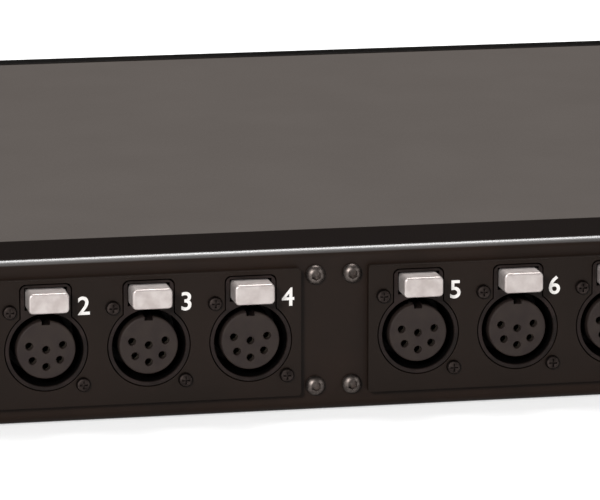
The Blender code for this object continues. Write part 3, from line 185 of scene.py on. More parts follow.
TURNS = {"X": (0, math.pi / 2, 0), "Y": (math.pi / 2, 0, 0), "Z": (0, 0, 0)}


def cylinder(middle, radius, depth, axis="Y", sides=ROUND):
    ready()
    bpy.ops.mesh.primitive_cylinder_add(
        vertices=sides, radius=radius, depth=depth, location=middle, rotation=TURNS[axis]
    )
    return settled(bpy.context.object)


def rod(x, z, radius, y_start, y_end, sides=ROUND):
    return cylinder((x, (y_start + y_end) / 2, z), radius, abs(y_end - y_start), "Y", sides)


def modify(obj, kind, **settings):
    """Add a modifier with its settings, and apply it."""
    only(obj)
    modifier = obj.modifiers.new(kind.lower(), kind)
    for key, value in settings.items():
        setattr(modifier, key, value)
    bpy.ops.object.modifier_apply(modifier=modifier.name)
    return obj


def discard(obj):
    bpy.data.objects.remove(obj, do_unlink=True)


def combined(obj, tools, operation):
    for tool in tools:
        modify(obj, "BOOLEAN", operation=operation, object=tool, solver="EXACT")
        discard(tool)
    return obj


def cut(obj, *tools):
    return combined(obj, tools, "DIFFERENCE")


def joined(obj, *others):
    return combined(obj, others, "UNION")


def together(objects):
    """Several separate bodies as one object, which keeps each one's finish."""
    ready()
    for obj in objects:
        obj.select_set(True)
    bpy.context.view_layer.objects.active = objects[0]
    bpy.ops.object.join()
    return bpy.context.object


def softened(obj, width, segments=2, angle=40):
    """Round every edge that is sharper than the angle, in degrees."""
    return modify(
        obj,
        "BEVEL",
        width=width,
        segments=segments,
        limit_method="ANGLE",
        angle_limit=math.radians(angle),
        miter_outer="MITER_ARC",
    )


def edit_edges(obj, chosen):
    """Enter edit mode with the edges selected for which the test, given both ends, holds."""
    only(obj)
    bpy.ops.object.mode_set(mode="EDIT")
    bpy.ops.mesh.select_mode(type="EDGE")
    bpy.ops.mesh.select_all(action="DESELECT")
    mesh = bmesh.from_edit_mesh(obj.data)
    for edge in mesh.edges:
        edge.select_set(chosen(edge.verts[0].co, edge.verts[1].co))
    bmesh.update_edit_mesh(obj.data)


def bevel_edges(obj, chosen, width, segments=6):
    edit_edges(obj, chosen)
    bpy.ops.mesh.bevel(offset=width, segments=segments, affect="EDGES")
    bpy.ops.object.mode_set(mode="OBJECT")
    return obj


def along_y(a, b):
    return abs(a.x - b.x) < SAME and abs(a.z - b.z) < SAME


def in_front_of(y):
    """A test for the edges that look towards -Y, nearer than y."""
    return lambda a, b: a.y < y and b.y < y


def turned(profile, x=0.0, z=0.0, sides=ROUND):
    """A turned shape about a Y axis, pulled from its first (radius, y) to its last."""
    ready()
    radius, y = profile[0]
    bpy.ops.mesh.primitive_circle_add(
        vertices=sides, radius=radius, fill_type="NGON", location=(x, y, z), rotation=TURNS["Y"]
    )
    obj = settled(bpy.context.object)
    bpy.ops.object.mode_set(mode="EDIT")
    bpy.ops.mesh.select_mode(type="FACE")
    bpy.ops.mesh.select_all(action="SELECT")
    for next_radius, next_y in profile[1:]:
        bpy.ops.mesh.extrude_region_move(TRANSFORM_OT_translate={"value": (0, next_y - y, 0)})
        share = next_radius / radius
        bpy.ops.transform.resize(value=(share, 1, share), center_override=(x, next_y, z))
        radius, y = next_radius, next_y
    bpy.ops.mesh.select_all(action="SELECT")
    bpy.ops.mesh.normals_make_consistent(inside=False)
    bpy.ops.object.mode_set(mode="OBJECT")
    return obj


def dome(radius, rise, base, angles):
    """The profile of a dome on a base at y, at angles in degrees above that base."""
    turns = [math.radians(angle) for angle in angles]
    return [(radius * math.cos(turn), base + rise * math.sin(turn)) for turn in turns]


def rounded(corners, steps=8):
    """A line whose inner corners, given as (across, up, radius), are replaced by arcs."""
    points = []
    for i, (across, up, radius) in enumerate(corners):
        corner = Vector((across, up))
        if radius <= 0:
            points.append(corner)
            continue
        back = (Vector(corners[i - 1][:2]) - corner).normalized()
        ahead = (Vector(corners[i + 1][:2]) - corner).normalized()
        half = back.angle(ahead) / 2
        centre = corner + (back + ahead).normalized() * radius / math.sin(half)
        first = corner + back * radius / math.tan(half) - centre
        second = corner + ahead * radius / math.tan(half) - centre
        turn = first.angle_signed(second)
        for step in range(steps + 1):
            points.append(centre + Matrix.Rotation(-turn * step / steps, 2) @ first)
    return points


def bent_sheet(corners, thickness, start, end, axis="X"):
    """A sheet pulled along a line of (across, up), its outer side, from start to end of an axis."""
    line = rounded(corners)
    first, second = line[:2]
    run = (start, end) if axis == "X" else (-end, -start)
    step, middle = second - first, (first + second) / 2
    ready()
    bpy.ops.mesh.primitive_plane_add(
        size=1,
        location=(sum(run) / 2, middle.x, middle.y),
        rotation=(math.atan2(step.y, step.x), 0, 0),
    )
    obj = bpy.context.object
    obj.scale = (run[1] - run[0], step.length, 1)
    settled(obj)
    edit_edges(obj, lambda *ends: all((Vector((v.y, v.z)) - second).length < SAME for v in ends))
    for here, there in zip(line[1:], line[2:]):
        bpy.ops.mesh.extrude_region_move(TRANSFORM_OT_translate={"value": (0, *(there - here))})
    bpy.ops.object.mode_set(mode="OBJECT")
    modify(obj, "SOLIDIFY", thickness=thickness, offset=1, use_even_offset=True)
    if axis == "Y":
        obj.rotation_euler = (0, 0, -math.pi / 2)
        settled(obj)
    return obj


def painted(obj, finish):
    """Give a shape its finish, before it is put together with others."""
    obj.data.materials.clear()
    obj.data.materials.append(bpy.data.materials[finish])
    return obj


def finished(obj, name, finish=None, nodes=(), body=CASE):
    """Name a piece, give it its finish, let it ride on its body and stand for its CAD nodes."""
    settled(obj)
    obj.name = name
    obj.data.name = name
    if finish:
        painted(obj, finish)
    bpy.ops.object.shade_smooth_by_angle(angle=math.radians(30))
    modify(obj, "WEIGHTED_NORMAL", keep_sharp=True)
    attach(obj, body)
    if nodes:
        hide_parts(*nodes)


def copied(source, offset, turn=0.0):
    """A copy with its own mesh, turned about Z and moved by an offset."""
    only(source)
    bpy.ops.object.duplicate(linked=False)
    copy = bpy.context.object
    copy.data.transform(Matrix.Translation(offset) @ Matrix.Rotation(turn, 4, "Z"))
    return copy


# Places read from the frame


def middle_of(node):
    low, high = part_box(node)
    return (low + high) / 2


def socket_axis(socket):
    """Where a socket's axis meets the plate's face."""
    node = "dmx_in_pins" if socket == "dmx_in" else f"{socket}_insert"
    middle = middle_of(node)
    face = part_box(f"{socket}_shell")[0].y
    return Vector((middle.x, face, middle.z))


def contact_places(sizes, with_centre):
    """Where the contacts stand about a socket's axis."""
    radius = sizes.contact_circle / 2
    angles = [-math.pi / 2 + i * sizes.contact_step for i in range(-2, 3)]
    places = [(radius * math.cos(angle), radius * math.sin(angle)) for angle in angles]
    return places + [(0.0, 0.0)] * with_centre


def screw_places(sizes):
    """The two screws of a socket, about its axis."""
    out = (sizes.collar + 2.7 * MM) / math.sqrt(2)
    return [(-out, out + 1.0 * MM), (out, -out)]


def standoff_places():
    """Under the corners of the two boards that lie flat."""
    inset = 6 * MM
    places = []
    for board in ("main_board", "power_supply_board"):
        low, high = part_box(board)
        for x in (low.x + inset, high.x - inset):
            places += [(x, low.y + inset), (x, high.y - inset)]
    return places


def panel_middle():
    return middle_of("front_panel").z


def panel_screw_places():
    """Four countersunk screws that hold the rack panel to the tray."""
    low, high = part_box("chassis_tray")
    inset, rise = 14 * MM, 13.5 * MM
    middle = panel_middle()
    return [(x, middle + up * rise) for x in (low.x + inset, high.x - inset) for up in (-1, 1)]


def lamp_places():
    first = middle_of(DIALS[0]).x
    return [first - 30 * MM, first - 20 * MM]


# Finishes


def linear(code):
    """The linear colour of a hex sRGB code."""
    values = [int(code[i : i + 2], 16) / 255 for i in (1, 3, 5)]
    return (*[v / 12.92 if v <= 0.04045 else ((v + 0.055) / 1.055) ** 2.4 for v in values], 1.0)


def tones(code, dark, light):
    """Two hex colours, made from one by a darker and a lighter share."""
    values = [int(code[i : i + 2], 16) for i in (1, 3, 5)]
    return [
        "#" + "".join(f"{max(0, min(255, round(v * share))):02x}" for v in values)
        for share in (dark, light)
    ]


def per_metre(millimetres):
    """The texture scale at which a pattern repeats about every so many millimetres."""
    return 1 / (millimetres * MM)


def add(tree, kind, sockets=None, **settings):
    """Add a node with its settings, and set or link its sockets."""
    node = tree.nodes.new(kind)
    for key, value in settings.items():
        setattr(node, key, value)
    for key, value in (sockets or {}).items():
        if isinstance(value, bpy.types.NodeSocket):
            tree.links.new(value, node.inputs[key])
        else:
            node.inputs[key].default_value = value
    return node


MIX_FACTOR, MIX_FIRST, MIX_SECOND, MIX_RESULT = 0, 6, 7, 2
SHADER_SOCKETS = {
    "metallic": "Metallic",
    "roughness": "Roughness",
    "specular": "Specular IOR Level",
    "coat": "Coat Weight",
    "coat_roughness": "Coat Roughness",
    "coat_ior": "Coat IOR",
    "transmission": "Transmission Weight",
}


def new_finish(name):
    """An empty finish: its node tree, its shader and its object coordinates."""
    material = bpy.data.materials.new(name)
    material.use_nodes = True
    tree = material.node_tree
    shader = tree.nodes["Principled BSDF"]
    return material, tree, shader, add(tree, "ShaderNodeTexCoord").outputs["Object"]


def surface(shader, **values):
    for key, value in values.items():
        shader.inputs[SHADER_SOCKETS[key]].default_value = value


def grained(name, codes, patch_mm, grain_mm, depth_mm, rough, stretch=None, **values):
    """A finish with two close tones in patches, a fine bump, and a roughness that varies with it."""
    material, tree, shader, coords = new_finish(name)
    if stretch:
        coords = add(tree, "ShaderNodeMapping", {"Vector": coords, "Scale": stretch}).outputs["Vector"]
    patch, grain = [
        add(
            tree, "ShaderNodeTexNoise", {"Vector": coords, "Scale": per_metre(size), "Detail": detail}
        ).outputs["Fac"]
        for size, detail in ((patch_mm, 3.0), (grain_mm, 2.0))
    ]
    share = add(
        tree, "ShaderNodeMapRange", {"Value": patch, "From Min": 0.35, "From Max": 0.65}
    ).outputs["Result"]
    tone = add(
        tree,
        "ShaderNodeMix",
        {MIX_FACTOR: share, MIX_FIRST: linear(codes[0]), MIX_SECOND: linear(codes[1])},
        data_type="RGBA",
    ).outputs[MIX_RESULT]
    roughness = add(
        tree,
        "ShaderNodeMapRange",
        {"Value": grain, "From Min": 0.3, "From Max": 0.7, "To Min": rough[0], "To Max": rough[1]},
    ).outputs["Result"]
    bump = add(
        tree, "ShaderNodeBump", {"Height": grain, "Strength": 0.5, "Distance": depth_mm * MM}
    ).outputs["Normal"]
    tree.links.new(tone, shader.inputs["Base Color"])
    tree.links.new(roughness, shader.inputs["Roughness"])
    tree.links.new(bump, shader.inputs["Normal"])
    surface(shader, **values)
    return material


def across_and_up(tree):
    """How far a point lies to the rear or the front of the middle, and its height."""
    coords = add(tree, "ShaderNodeTexCoord").outputs["Object"]
    place = add(tree, "ShaderNodeSeparateXYZ", {"Vector": coords})
    across = add(tree, "ShaderNodeMath", {0: place.outputs["Y"]}, operation="ABSOLUTE")
    return across.outputs["Value"], place.outputs["Z"]


def retoned(tree, value, start, end, before=None, after=None):
    """Change the base colour where a value is below start or past end, from a hex code."""
    base = tree.nodes["Principled BSDF"].inputs["Base Color"]
    own = base.links[0].from_socket
    share = add(
        tree, "ShaderNodeMapRange", {"Value": value, "From Min": start, "From Max": end}
    ).outputs["Result"]
    tone = add(
        tree,
        "ShaderNodeMix",
        {
            MIX_FACTOR: share,
            MIX_FIRST: linear(before) if before else own,
            MIX_SECOND: linear(after) if after else own,
        },
        data_type="RGBA",
    ).outputs[MIX_RESULT]
    tree.links.new(tone, base)


def gloss_on_bends(material, case):
    """The coat is glossy where it draws tight over the tray's top bends; the flat tops of its flanges
    are painted near black as painted shade.
    """
    tree = material.node_tree
    shader = tree.nodes["Principled BSDF"]
    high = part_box("chassis_tray")[1]
    across, up = across_and_up(tree)
    fade = 0.4 * MM
    flat, level = high.y - case.bend, high.z - 0.6 * case.bend
    outer, upper = [
        add(
            tree, "ShaderNodeMapRange", {"Value": value, "From Min": start, "From Max": start + fade}
        ).outputs["Result"]
        for value, start in ((across, flat), (up, level))
    ]
    bend = add(tree, "ShaderNodeMath", {0: outer, 1: upper}, operation="MULTIPLY").outputs["Value"]
    gloss = add(tree, "ShaderNodeMapRange", {"Value": bend, "To Min": 0.15, "To Max": 1.0})
    tree.links.new(gloss.outputs["Result"], shader.inputs["Specular IOR Level"])
    tree.links.new(bend, shader.inputs["Coat Weight"])
    surface(shader, coat_roughness=0.43, coat_ior=2.2)
    # Painted shade: the flat tops of the tray's flanges are painted near black, darker than its upright
    # faces.
    retoned(tree, up, high.z - 0.25 * MM, high.z - 0.02 * MM, after="#130c09")


def black_inside(material):
    """The nylon keeps its own tone on its outer faces; behind the sockets' faces it is painted near
    black, as painted shade deep in the bores.
    """
    tree = material.node_tree
    face = abs(socket_axis(SOCKETS[0]).y)
    # Painted shade: near black from a millimetre behind the sockets' faces inwards.
    retoned(tree, across_and_up(tree)[0], face - 1.0 * MM, face - 0.3 * MM, before="#050404")


def make_finishes(colours, case):
    """Every finish of the converter: tones, sizes of patch, grain and relief in mm, roughness."""
    # Fine polyester powder coat on steel: near matt, with an orange peel of a third of a millimetre
    coat = grained("case_powder_coat", tones(colours.case, 0.94, 1.08), 18, 0.35, 0.02, (0.40, 0.50))
    gloss_on_bends(coat, case)
    # The raised plates: the same coat from another batch, a little darker
    grained(
        "plate_powder_coat", tones(colours.case, 0.85, 0.95), 18, 0.35, 0.02, (0.40, 0.50),
        specular=0.15,
    )
    # The same kind of coat in grey-brown, a little finer and more matt
    grained(
        "cover_powder_coat", tones(colours.cover, 0.99, 1.01), 30, 0.30, 0.02, (0.44, 0.54),
        specular=0.25,
    )
    # Black anodised aluminium, brushed along the panel: hair lines of 0.15 mm, tens of millimetres long
    grained(
        "brushed_anodised_aluminium", tones(colours.panel, 0.85, 1.25), 0.5, 0.15, 0.01, (0.30, 0.45),
        stretch=(0.01, 1.0, 1.0), metallic=0.5,
    )
    # Glass-filled nylon from a spark-eroded mould: matt black, a grain of 0.2 mm
    nylon = grained(
        "moulded_nylon", tones(colours.socket, 0.85, 1.2), 5, 0.2, 0.02, (0.42, 0.55), specular=0.1
    )
    # Painted shade deep in the sockets' bores
    black_inside(nylon)
    # The sockets' noses: the same nylon, charcoal and smoother
    grained("nose_nylon", tones(colours.insert, 0.93, 1.07), 4, 0.2, 0.01, (0.42, 0.54), specular=0.2)
    # Zinc casting, tumbled and nickel-plated: soft bright metal with faint clouds of wear
    grained("satin_nickel", ("#c4b9b5", "#d8cfcb"), 3, 0.12, 0.004, (0.40, 0.52), metallic=0.7)
    # Silver-plated brass contacts, a little tarnished
    grained("plated_contact", ("#544d44", "#6b6358"), 1, 0.1, 0.002, (0.36, 0.48), metallic=1.0)
    # Black oxide on the small steel screws: dark and oily
    grained("black_oxide", ("#2e2826", "#403835"), 1.2, 0.12, 0.004, (0.38, 0.52), metallic=1.0)
    # The same oxide on the strip's screws, painted paler: a painted highlight for the light that their
    # domed heads catch
    grained("worn_oxide", ("#5c5450", "#7b726d"), 1.2, 0.12, 0.004, (0.36, 0.50), metallic=1.0)
    # Zinc plate on steel: pale grey with a faint spangle of a few millimetres
    grained("zinc_plate", ("#8f8f8c", "#a9a9a5"), 3, 0.2, 0.004, (0.32, 0.46), metallic=1.0)
    # Green solder mask over copper: glossy, with the tracks' relief every couple of millimetres
    grained("solder_mask", ("#173d25", "#2a5f3a"), 1.6, 0.6, 0.02, (0.25, 0.35), coat=0.3)
    # The headers' black polyester, moulded with a fine grain
    grained("component_black", ("#171616", "#232221"), 2, 0.15, 0.01, (0.5, 0.62))
    ribbon_finish()
    # Black vinyl sleeve of the leads, smooth and slightly waxy
    grained("vinyl_sleeve", ("#121111", "#1c1a1a"), 12, 0.5, 0.01, (0.38, 0.48))
    # Varnished transformer iron: laminations half a millimetre thick, seen as fine lines
    grained(
        "laminated_iron", ("#4f4b47", "#77716b"), 0.5, 0.5, 0.05, (0.38, 0.52),
        stretch=(0.02, 1.0, 0.02), metallic=0.6,
    )
    # Glossy white nylon of the dials
    grained("white_nylon", ("#d3cfc6", "#dfdcd4"), 6, 0.3, 0.005, (0.30, 0.38), specular=0.5)
    # Screen-printed ink: flat white with a slightly uneven edge of tone
    grained("screen_ink", tones(colours.print, 0.96, 1.03), 1.5, 0.2, 0.004, (0.5, 0.6))
    # Tinted clear epoxy of the two lamps
    for name, code in (("green_lens", "#2f8f3c"), ("red_lens", "#a5231c")):
        grained(name, tones(code, 0.9, 1.1), 1.0, 0.2, 0.002, (0.10, 0.18), transmission=0.35)


def ribbon_finish():
    """Grey vinyl ribbon, with one ridge for each 1.27 mm conductor."""
    _, tree, shader, coords = new_finish("ribbon_vinyl")
    ridges = add(
        tree,
        "ShaderNodeTexWave",
        {"Vector": coords, "Scale": per_metre(1.27) / 20 * math.pi},
        wave_type="BANDS",
        bands_direction="X",
    ).outputs["Fac"]
    tone = add(
        tree,
        "ShaderNodeMix",
        {MIX_FACTOR: ridges, MIX_FIRST: linear("#7c7b77"), MIX_SECOND: linear("#999893")},
        data_type="RGBA",
    ).outputs[MIX_RESULT]
    bump = add(tree, "ShaderNodeBump", {"Height": ridges, "Strength": 0.6, "Distance": 0.2 * MM})
    tree.links.new(tone, shader.inputs["Base Color"])
    tree.links.new(bump.outputs["Normal"], shader.inputs["Normal"])
    surface(shader, roughness=0.5)


def dress(name, *nodes):
    """Give CAD nodes that stay their better finish."""
    for node in nodes:
        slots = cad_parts[node].material_slots
        if not slots:
            raise RuntimeError(f"{node} has no material slot")
        for slot in slots:
            slot.material = bpy.data.materials[name]


# Shapes that several pieces share


def hood(axis, latch, clear, y_start, y_end):
    """The rounded block over a latch's tab, from the socket's axis up."""
    low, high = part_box(latch)
    half = (high.x - low.x) / 2 + clear + 1.0 * MM
    top = high.z + clear + 0.6 * MM
    block = cube((axis.x - half, y_start, axis.z), (axis.x + half, y_end, top))
    return bevel_edges(block, lambda a, b: along_y(a, b) and a.z > axis.z + MM, 1.6 * MM)


def socket_cutters(sizes, case, socket, y_start, y_end):
    """Cutters for a socket's mouth and its two screw holes."""
    axis = socket_axis(socket)
    mouth = rod(axis.x, axis.z, sizes.collar + case.clear, y_start, y_end)
    if socket != "dmx_in":
        past = 0.1 * MM
        joined(mouth, hood(axis, f"{socket}_latch", 2 * case.clear, y_start - past, y_end + past))
    return [mouth] + [
        rod(axis.x + x, axis.z + z, 1.35 * MM, y_start, y_end, SMALL_ROUND)
        for x, z in screw_places(sizes)
    ]


def front_cutters(y_start, y_end, case):
    """Cutters for the openings that the rack panel and the wall behind it share."""
    cutters = []
    for dial in DIALS:
        low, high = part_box(dial)
        middle = (low + high) / 2
        cutters.append(rod(middle.x, middle.z, (high.x - low.x) / 2 + 2 * case.clear, y_start, y_end))
    for x in lamp_places():
        cutters.append(rod(x, panel_middle(), 1.8 * MM, y_start, y_end, SMALL_ROUND))
    switch = middle_of("switch_rocker")
    cutters.append(bar(switch.x, panel_middle(), 6.7 * MM, 9.9 * MM, y_start, y_end))
    return cutters


def side_block(side, near, far, lowest, highest):
    """A block at one side of the case, whose ends lie near and far from the middle."""
    ends = sorted((side * near, side * far))
    return cube((ends[0], *lowest), (ends[1], *highest))


def socket_block(sizes, axis, low, high, *fronts):
    """A housing's round collar, with its block behind the wall."""
    shell = rod(axis.x, axis.z, sizes.collar, axis.y, axis.y + FRONT + RUN_IN, FINE_ROUND)
    block = cube((low.x, axis.y + FRONT, axis.z - sizes.drop), high)
    bevel_edges(block, along_y, 1.2 * MM, 4)
    return joined(shell, *fronts, block)


def stepped_bore(axis, radius, chamfer, floor, end):
    """A cutter for a housing: chamfered mouth, bore down to its floor, and narrower tail."""
    return turned(
        [
            (radius + chamfer, axis.y - 0.3 * MM),
            (radius, axis.y + chamfer),
            (radius, floor),
            (TAIL, floor),
            (TAIL, end),
        ],
        axis.x, axis.z, FINE_ROUND,
    )


def crossed(screw, reach, width, y_start, y_end):
    """Cut a cross recess into the head of a screw that stands on the Y axis."""
    return cut(
        screw,
        bar(0, 0, reach, width / 2, y_start, y_end),
        bar(0, 0, width / 2, reach, y_start, y_end),
    )


def notched(middle, half_x, half_z, y_start, y_end):
    """A block along Y with its two upper corners cut off."""
    block = bar(middle.x, middle.z, half_x, half_z, y_start, y_end)
    return bevel_edges(block, lambda a, b: along_y(a, b) and a.z > middle.z, 4.2 * MM, 1)


def numeral(text, height, x, y, z, facing=-1):
    """A printed numeral on a face that looks along -Y, or +Y."""
    ready()
    turn = (math.pi / 2, 0, 0) if facing < 0 else (math.pi / 2, 0, math.pi)
    bpy.ops.object.text_add(location=(x, y, z), rotation=turn)
    obj = bpy.context.object
    obj.data.body = text
    obj.data.size = height / 0.73  # a digit is 0.73 of its letter's size
    obj.data.align_x = "CENTER"
    obj.data.align_y = "CENTER"
    obj.data.extrude = 0.02 * MM
    obj.data.offset = height / 60  # a bold face
    obj.data.resolution_u = 4
    bpy.ops.object.convert(target="MESH")
    obj = settled(bpy.context.object)
    spans = [[v.co[i] for v in obj.data.vertices] for i in (0, 2)]
    middle_x, middle_z = [(min(span) + max(span)) / 2 for span in spans]
    obj.data.transform(Matrix.Translation((x - middle_x, 0, z - middle_z)))
    return modify(obj, "SOLIDIFY", thickness=0.05 * MM, offset=0)


def rocker_shape(x, pivot_y, z):
    """The rocker with its valley and marks, its lower tip pressed in."""
    half_x, half_z = 5.1 * MM, 7.8 * MM
    tip, valley, root = 3.6 * MM, 2.6 * MM, 3.5 * MM
    block = bar(x, 0, half_x, half_z, -root, tip)
    only(block)
    bpy.ops.object.mode_set(mode="EDIT")
    bpy.ops.mesh.select_all(action="SELECT")
    bpy.ops.mesh.bisect(plane_co=(x, 0, 0), plane_no=(0, 0, 1))
    bpy.ops.object.mode_set(mode="OBJECT")
    for vertex in block.data.vertices:
        if vertex.co.y > 0 and abs(vertex.co.z) < SAME:
            vertex.co.y = valley
        if vertex.co.y < 0 and abs(vertex.co.z) > SAME:
            vertex.co.z *= 0.45
    belly = bar(x, 0, half_x, half_z, -0.4 * MM, valley - 0.3 * MM)
    pivot = cylinder((x, 0, 0), 0.8 * MM, 11.2 * MM, "X", SMALL_ROUND)
    softened(joined(block, belly, pivot), 0.25 * MM, 3, 50)
    bodies = [painted(block, "moulded_nylon")]
    slope = math.atan2(tip - valley, half_z)
    out = 0.55  # how far along its half of the rocker a mark stands
    for text, side in (("I", -1), ("O", 1)):
        mark = numeral(text, 2.6 * MM, x, 0, 0, facing=1)
        place = Matrix.Translation((0, valley + (tip - valley) * out, side * half_z * out))
        mark.data.transform(place @ Matrix.Rotation(-side * slope, 4, "X"))
        bodies.append(painted(mark, "screen_ink"))
    rocker = together(bodies)
    rest = Matrix.Rotation(math.radians(-8), 4, "X")
    rocker.data.transform(Matrix.Translation((0, pivot_y, z)) @ rest)
    return rocker


# Pieces


class DAC_OT_finishes(bpy.types.Operator):
    """Make every finish, and dress the CAD nodes that stay as they are"""

    bl_idname = "dac.finishes"
    bl_label = "Finishes"

    def execute(self, context):
        make_finishes(context.scene.dac_colours, context.scene.dac_case)
        dress("laminated_iron", "transformer")
        dress("zinc_plate", "centre_bracket")
        dress("solder_mask", "main_board", "power_supply_board", "front_board")
        dress("ribbon_vinyl", "left_ribbon", "right_ribbon")
        dress("vinyl_sleeve", "mains_lead", "supply_lead", "direct_current_lead", "data_lead")
        return {"FINISHED"}


class DAC_OT_tray(bpy.types.Operator):
    """Bend the chassis tray and cut its openings"""

    bl_idname = "dac.tray"
    bl_label = "Chassis tray"

    def execute(self, context):
        case, sizes = context.scene.dac_case, context.scene.dac_socket
        low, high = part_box("chassis_tray")
        rear_edge, front_edge = low.y + case.rear_flange, high.y - case.front_flange
        ledge_z = high.z - case.sheet - case.clear
        tray = bent_sheet(
            [
                (rear_edge + case.ledge, ledge_z, 0),
                (rear_edge, ledge_z, 0),
                (rear_edge, high.z, 0),
                (low.y, high.z, case.bend),
                (low.y, 0, case.bend),
                (high.y, 0, case.bend),
                (high.y, high.z, case.bend),
                (front_edge, high.z, 0),
                (front_edge, ledge_z, 0),
                (front_edge - case.ledge, ledge_z, 0),
            ],
            case.sheet,
            low.x,
            high.x,
        )
        inner = high.x - case.sheet - case.clear
        gap, bite = case.clear / 2, 2 * case.clear
        sides = []
        for side in (-1, 1):
            for near, lowest, highest in (
                (
                    inner - case.sheet / 2,
                    (low.y + case.sheet + gap, -CUT),
                    (high.y - case.sheet - gap, high.z - case.sheet - gap),
                ),
                (
                    inner - case.bend,
                    (rear_edge - bite, ledge_z - case.sheet - CUT),
                    (front_edge + bite, ledge_z + bite),
                ),
            ):
                sides.append(side_block(side, near, high.x + CUT, lowest, highest))
        cut(tray, *sides)
        for side in (-1, 1):
            lowest = (low.y + 2 * case.bend, case.sheet / 2)
            highest = (high.y - 2 * case.bend, case.side_flange)
            joined(tray, side_block(side, inner - case.sheet, inner, lowest, highest))
        middle, radius, height = case.sheet + 3.7 * MM, 3 * MM, 8.6 * MM
        for x, y in standoff_places():
            joined(tray, cylinder((x, y, middle), radius, height, "Z", SMALL_ROUND))
        cutters = []
        wall = (low.y - CUT, low.y + case.sheet + CUT)
        for socket in SOCKETS:
            cutters += socket_cutters(sizes, case, socket, *wall)
        for screw in STRIP_SCREWS:
            place = middle_of(screw)
            cutters.append(rod(place.x, place.z, 1.8 * MM, *wall, SMALL_ROUND))
        inlet = middle_of("mains_inlet_pins")
        cutters.append(bar(inlet.x, inlet.z, 13.9 * MM, 9.9 * MM, *wall))
        cutters += front_cutters(high.y - case.sheet - CUT, high.y + CUT, case)
        cut(tray, *cutters)
        softened(tray, case.edge * 0.75, 2, 50)
        finished(tray, "bent_tray", "case_powder_coat", ["chassis_tray"])
        return {"FINISHED"}


class DAC_OT_cover(bpy.types.Operator):
    """Bend the cover and notch it round the tray's flanges"""

    bl_idname = "dac.cover"
    bl_label = "Cover"

    def execute(self, context):
        case = context.scene.dac_case
        low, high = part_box("top_cover")
        tray_low, tray_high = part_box("chassis_tray")
        line = [
            (high.x, 0, 0),
            (high.x, high.z, case.bend),
            (low.x, high.z, case.bend),
            (low.x, 0, 0),
        ]
        cover = bent_sheet(line, case.sheet, low.y, high.y, "Y")
        under = high.z - case.sheet - 2 * case.clear
        rear_end = tray_low.y + case.rear_flange + case.clear
        front_end = tray_high.y - case.front_flange - case.clear
        cut(
            cover,
            cube((low.x - CUT, low.y - CUT, under), (high.x + CUT, rear_end, high.z + CUT)),
            cube((low.x - CUT, front_end, under), (high.x + CUT, high.y + CUT, high.z + CUT)),
        )
        softened(cover, case.edge * 0.75, 2, 50)
        finished(cover, "folded_cover", "cover_powder_coat", ["top_cover"])
        return {"FINISHED"}


class DAC_OT_panel(bpy.types.Operator):
    """Cut the rack panel with its slots and openings"""

    bl_idname = "dac.panel"
    bl_label = "Rack panel"

    def execute(self, context):
        case = context.scene.dac_case
        low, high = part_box("front_panel")
        panel = bevel_edges(cube(low, high), along_y, case.panel_corner)
        y_start, y_end = low.y - CUT, high.y + CUT
        cutters = front_cutters(y_start, y_end, case)
        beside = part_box("chassis_tray")[1].x + case.clear
        relief = cube((-beside, y_start, low.z - CUT), (beside, low.y + case.clear, high.z + CUT))
        cutters.append(relief)
        middle = panel_middle()
        for side in (-1, 1):
            for up in (-1, 1):
                x, z = side * case.slot_across / 2, middle + up * case.slot_up / 2
                slot = bar(x, z, case.slot_length / 2, case.slot_width / 2, y_start, y_end)
                cutters.append(bevel_edges(slot, along_y, case.slot_width / 2 - APART, 12))
        head, shank = 3.2 * MM, 1.7 * MM
        countersink = [(head, high.y + 0.2 * MM), (shank, high.y - 1.4 * MM), (shank, y_start)]
        for x, z in panel_screw_places():
            cutters.append(turned(countersink, x, z, SMALL_ROUND))
        cut(panel, *cutters)
        softened(panel, case.edge, 2)
        finished(
            panel, "rack_panel", "brushed_anodised_aluminium", ["front_panel"]
        )
        return {"FINISHED"}


class DAC_OT_plates(bpy.types.Operator):
    """Cut the three raised plates that carry the sockets"""

    bl_idname = "dac.plates"
    bl_label = "Raised plates"

    def execute(self, context):
        case, sizes = context.scene.dac_case, context.scene.dac_socket
        for node, sockets in PLATES.items():
            low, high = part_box(node)
            plate = bevel_edges(cube(low, high), along_y, case.plate_corner)
            cutters = []
            for socket in sockets:
                cutters += socket_cutters(sizes, case, socket, low.y - CUT, high.y + CUT)
            cut(plate, *cutters)
            softened(plate, case.edge, 2)
            name = node.replace("_plate", "_raised_plate")
            finished(plate, name, "plate_powder_coat", [node])
        return {"FINISHED"}


class DAC_OT_socket_housings(bpy.types.Operator):
    """Mould the female sockets' housings, with bore, latch channel and hood"""

    bl_idname = "dac.socket_housings"
    bl_label = "Socket housings"

    def execute(self, context):
        case, sizes = context.scene.dac_case, context.scene.dac_socket
        first = FEMALES[0]
        axis = socket_axis(first)
        low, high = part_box(f"{first}_shell")
        latch_low, latch_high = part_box(f"{first}_latch")
        top = hood(axis, f"{first}_latch", case.clear, axis.y, axis.y + FRONT + RUN_IN)
        shell = socket_block(sizes, axis, low, high, top)
        half_tab = (latch_high.x - latch_low.x) / 2 + case.clear
        channel_low = axis.z + sizes.bore + 1.0 * MM
        channel = cube(
            (axis.x - half_tab, axis.y - CUT, channel_low),
            (axis.x + half_tab, latch_high.y + 2.5 * MM, latch_high.z + case.clear),
        )
        half_finger = 1.8 * MM
        finger = cube(
            (axis.x - half_finger, axis.y + 10.2 * MM, axis.z + sizes.nose),
            (axis.x + half_finger, axis.y + 15.6 * MM, channel_low + 0.2 * MM),
        )
        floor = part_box(f"{first}_insert")[1].y + case.clear
        bore = stepped_bore(axis, sizes.bore, 0.3 * MM, floor, high.y + CUT)
        softened(cut(shell, bore, channel, finger), 0.15 * MM, 2)
        for socket in FEMALES:
            housing = copied(shell, socket_axis(socket) - axis)
            node = f"{socket}_shell"
            finished(housing, f"{socket}_housing", "moulded_nylon", [node])
        discard(shell)
        return {"FINISHED"}


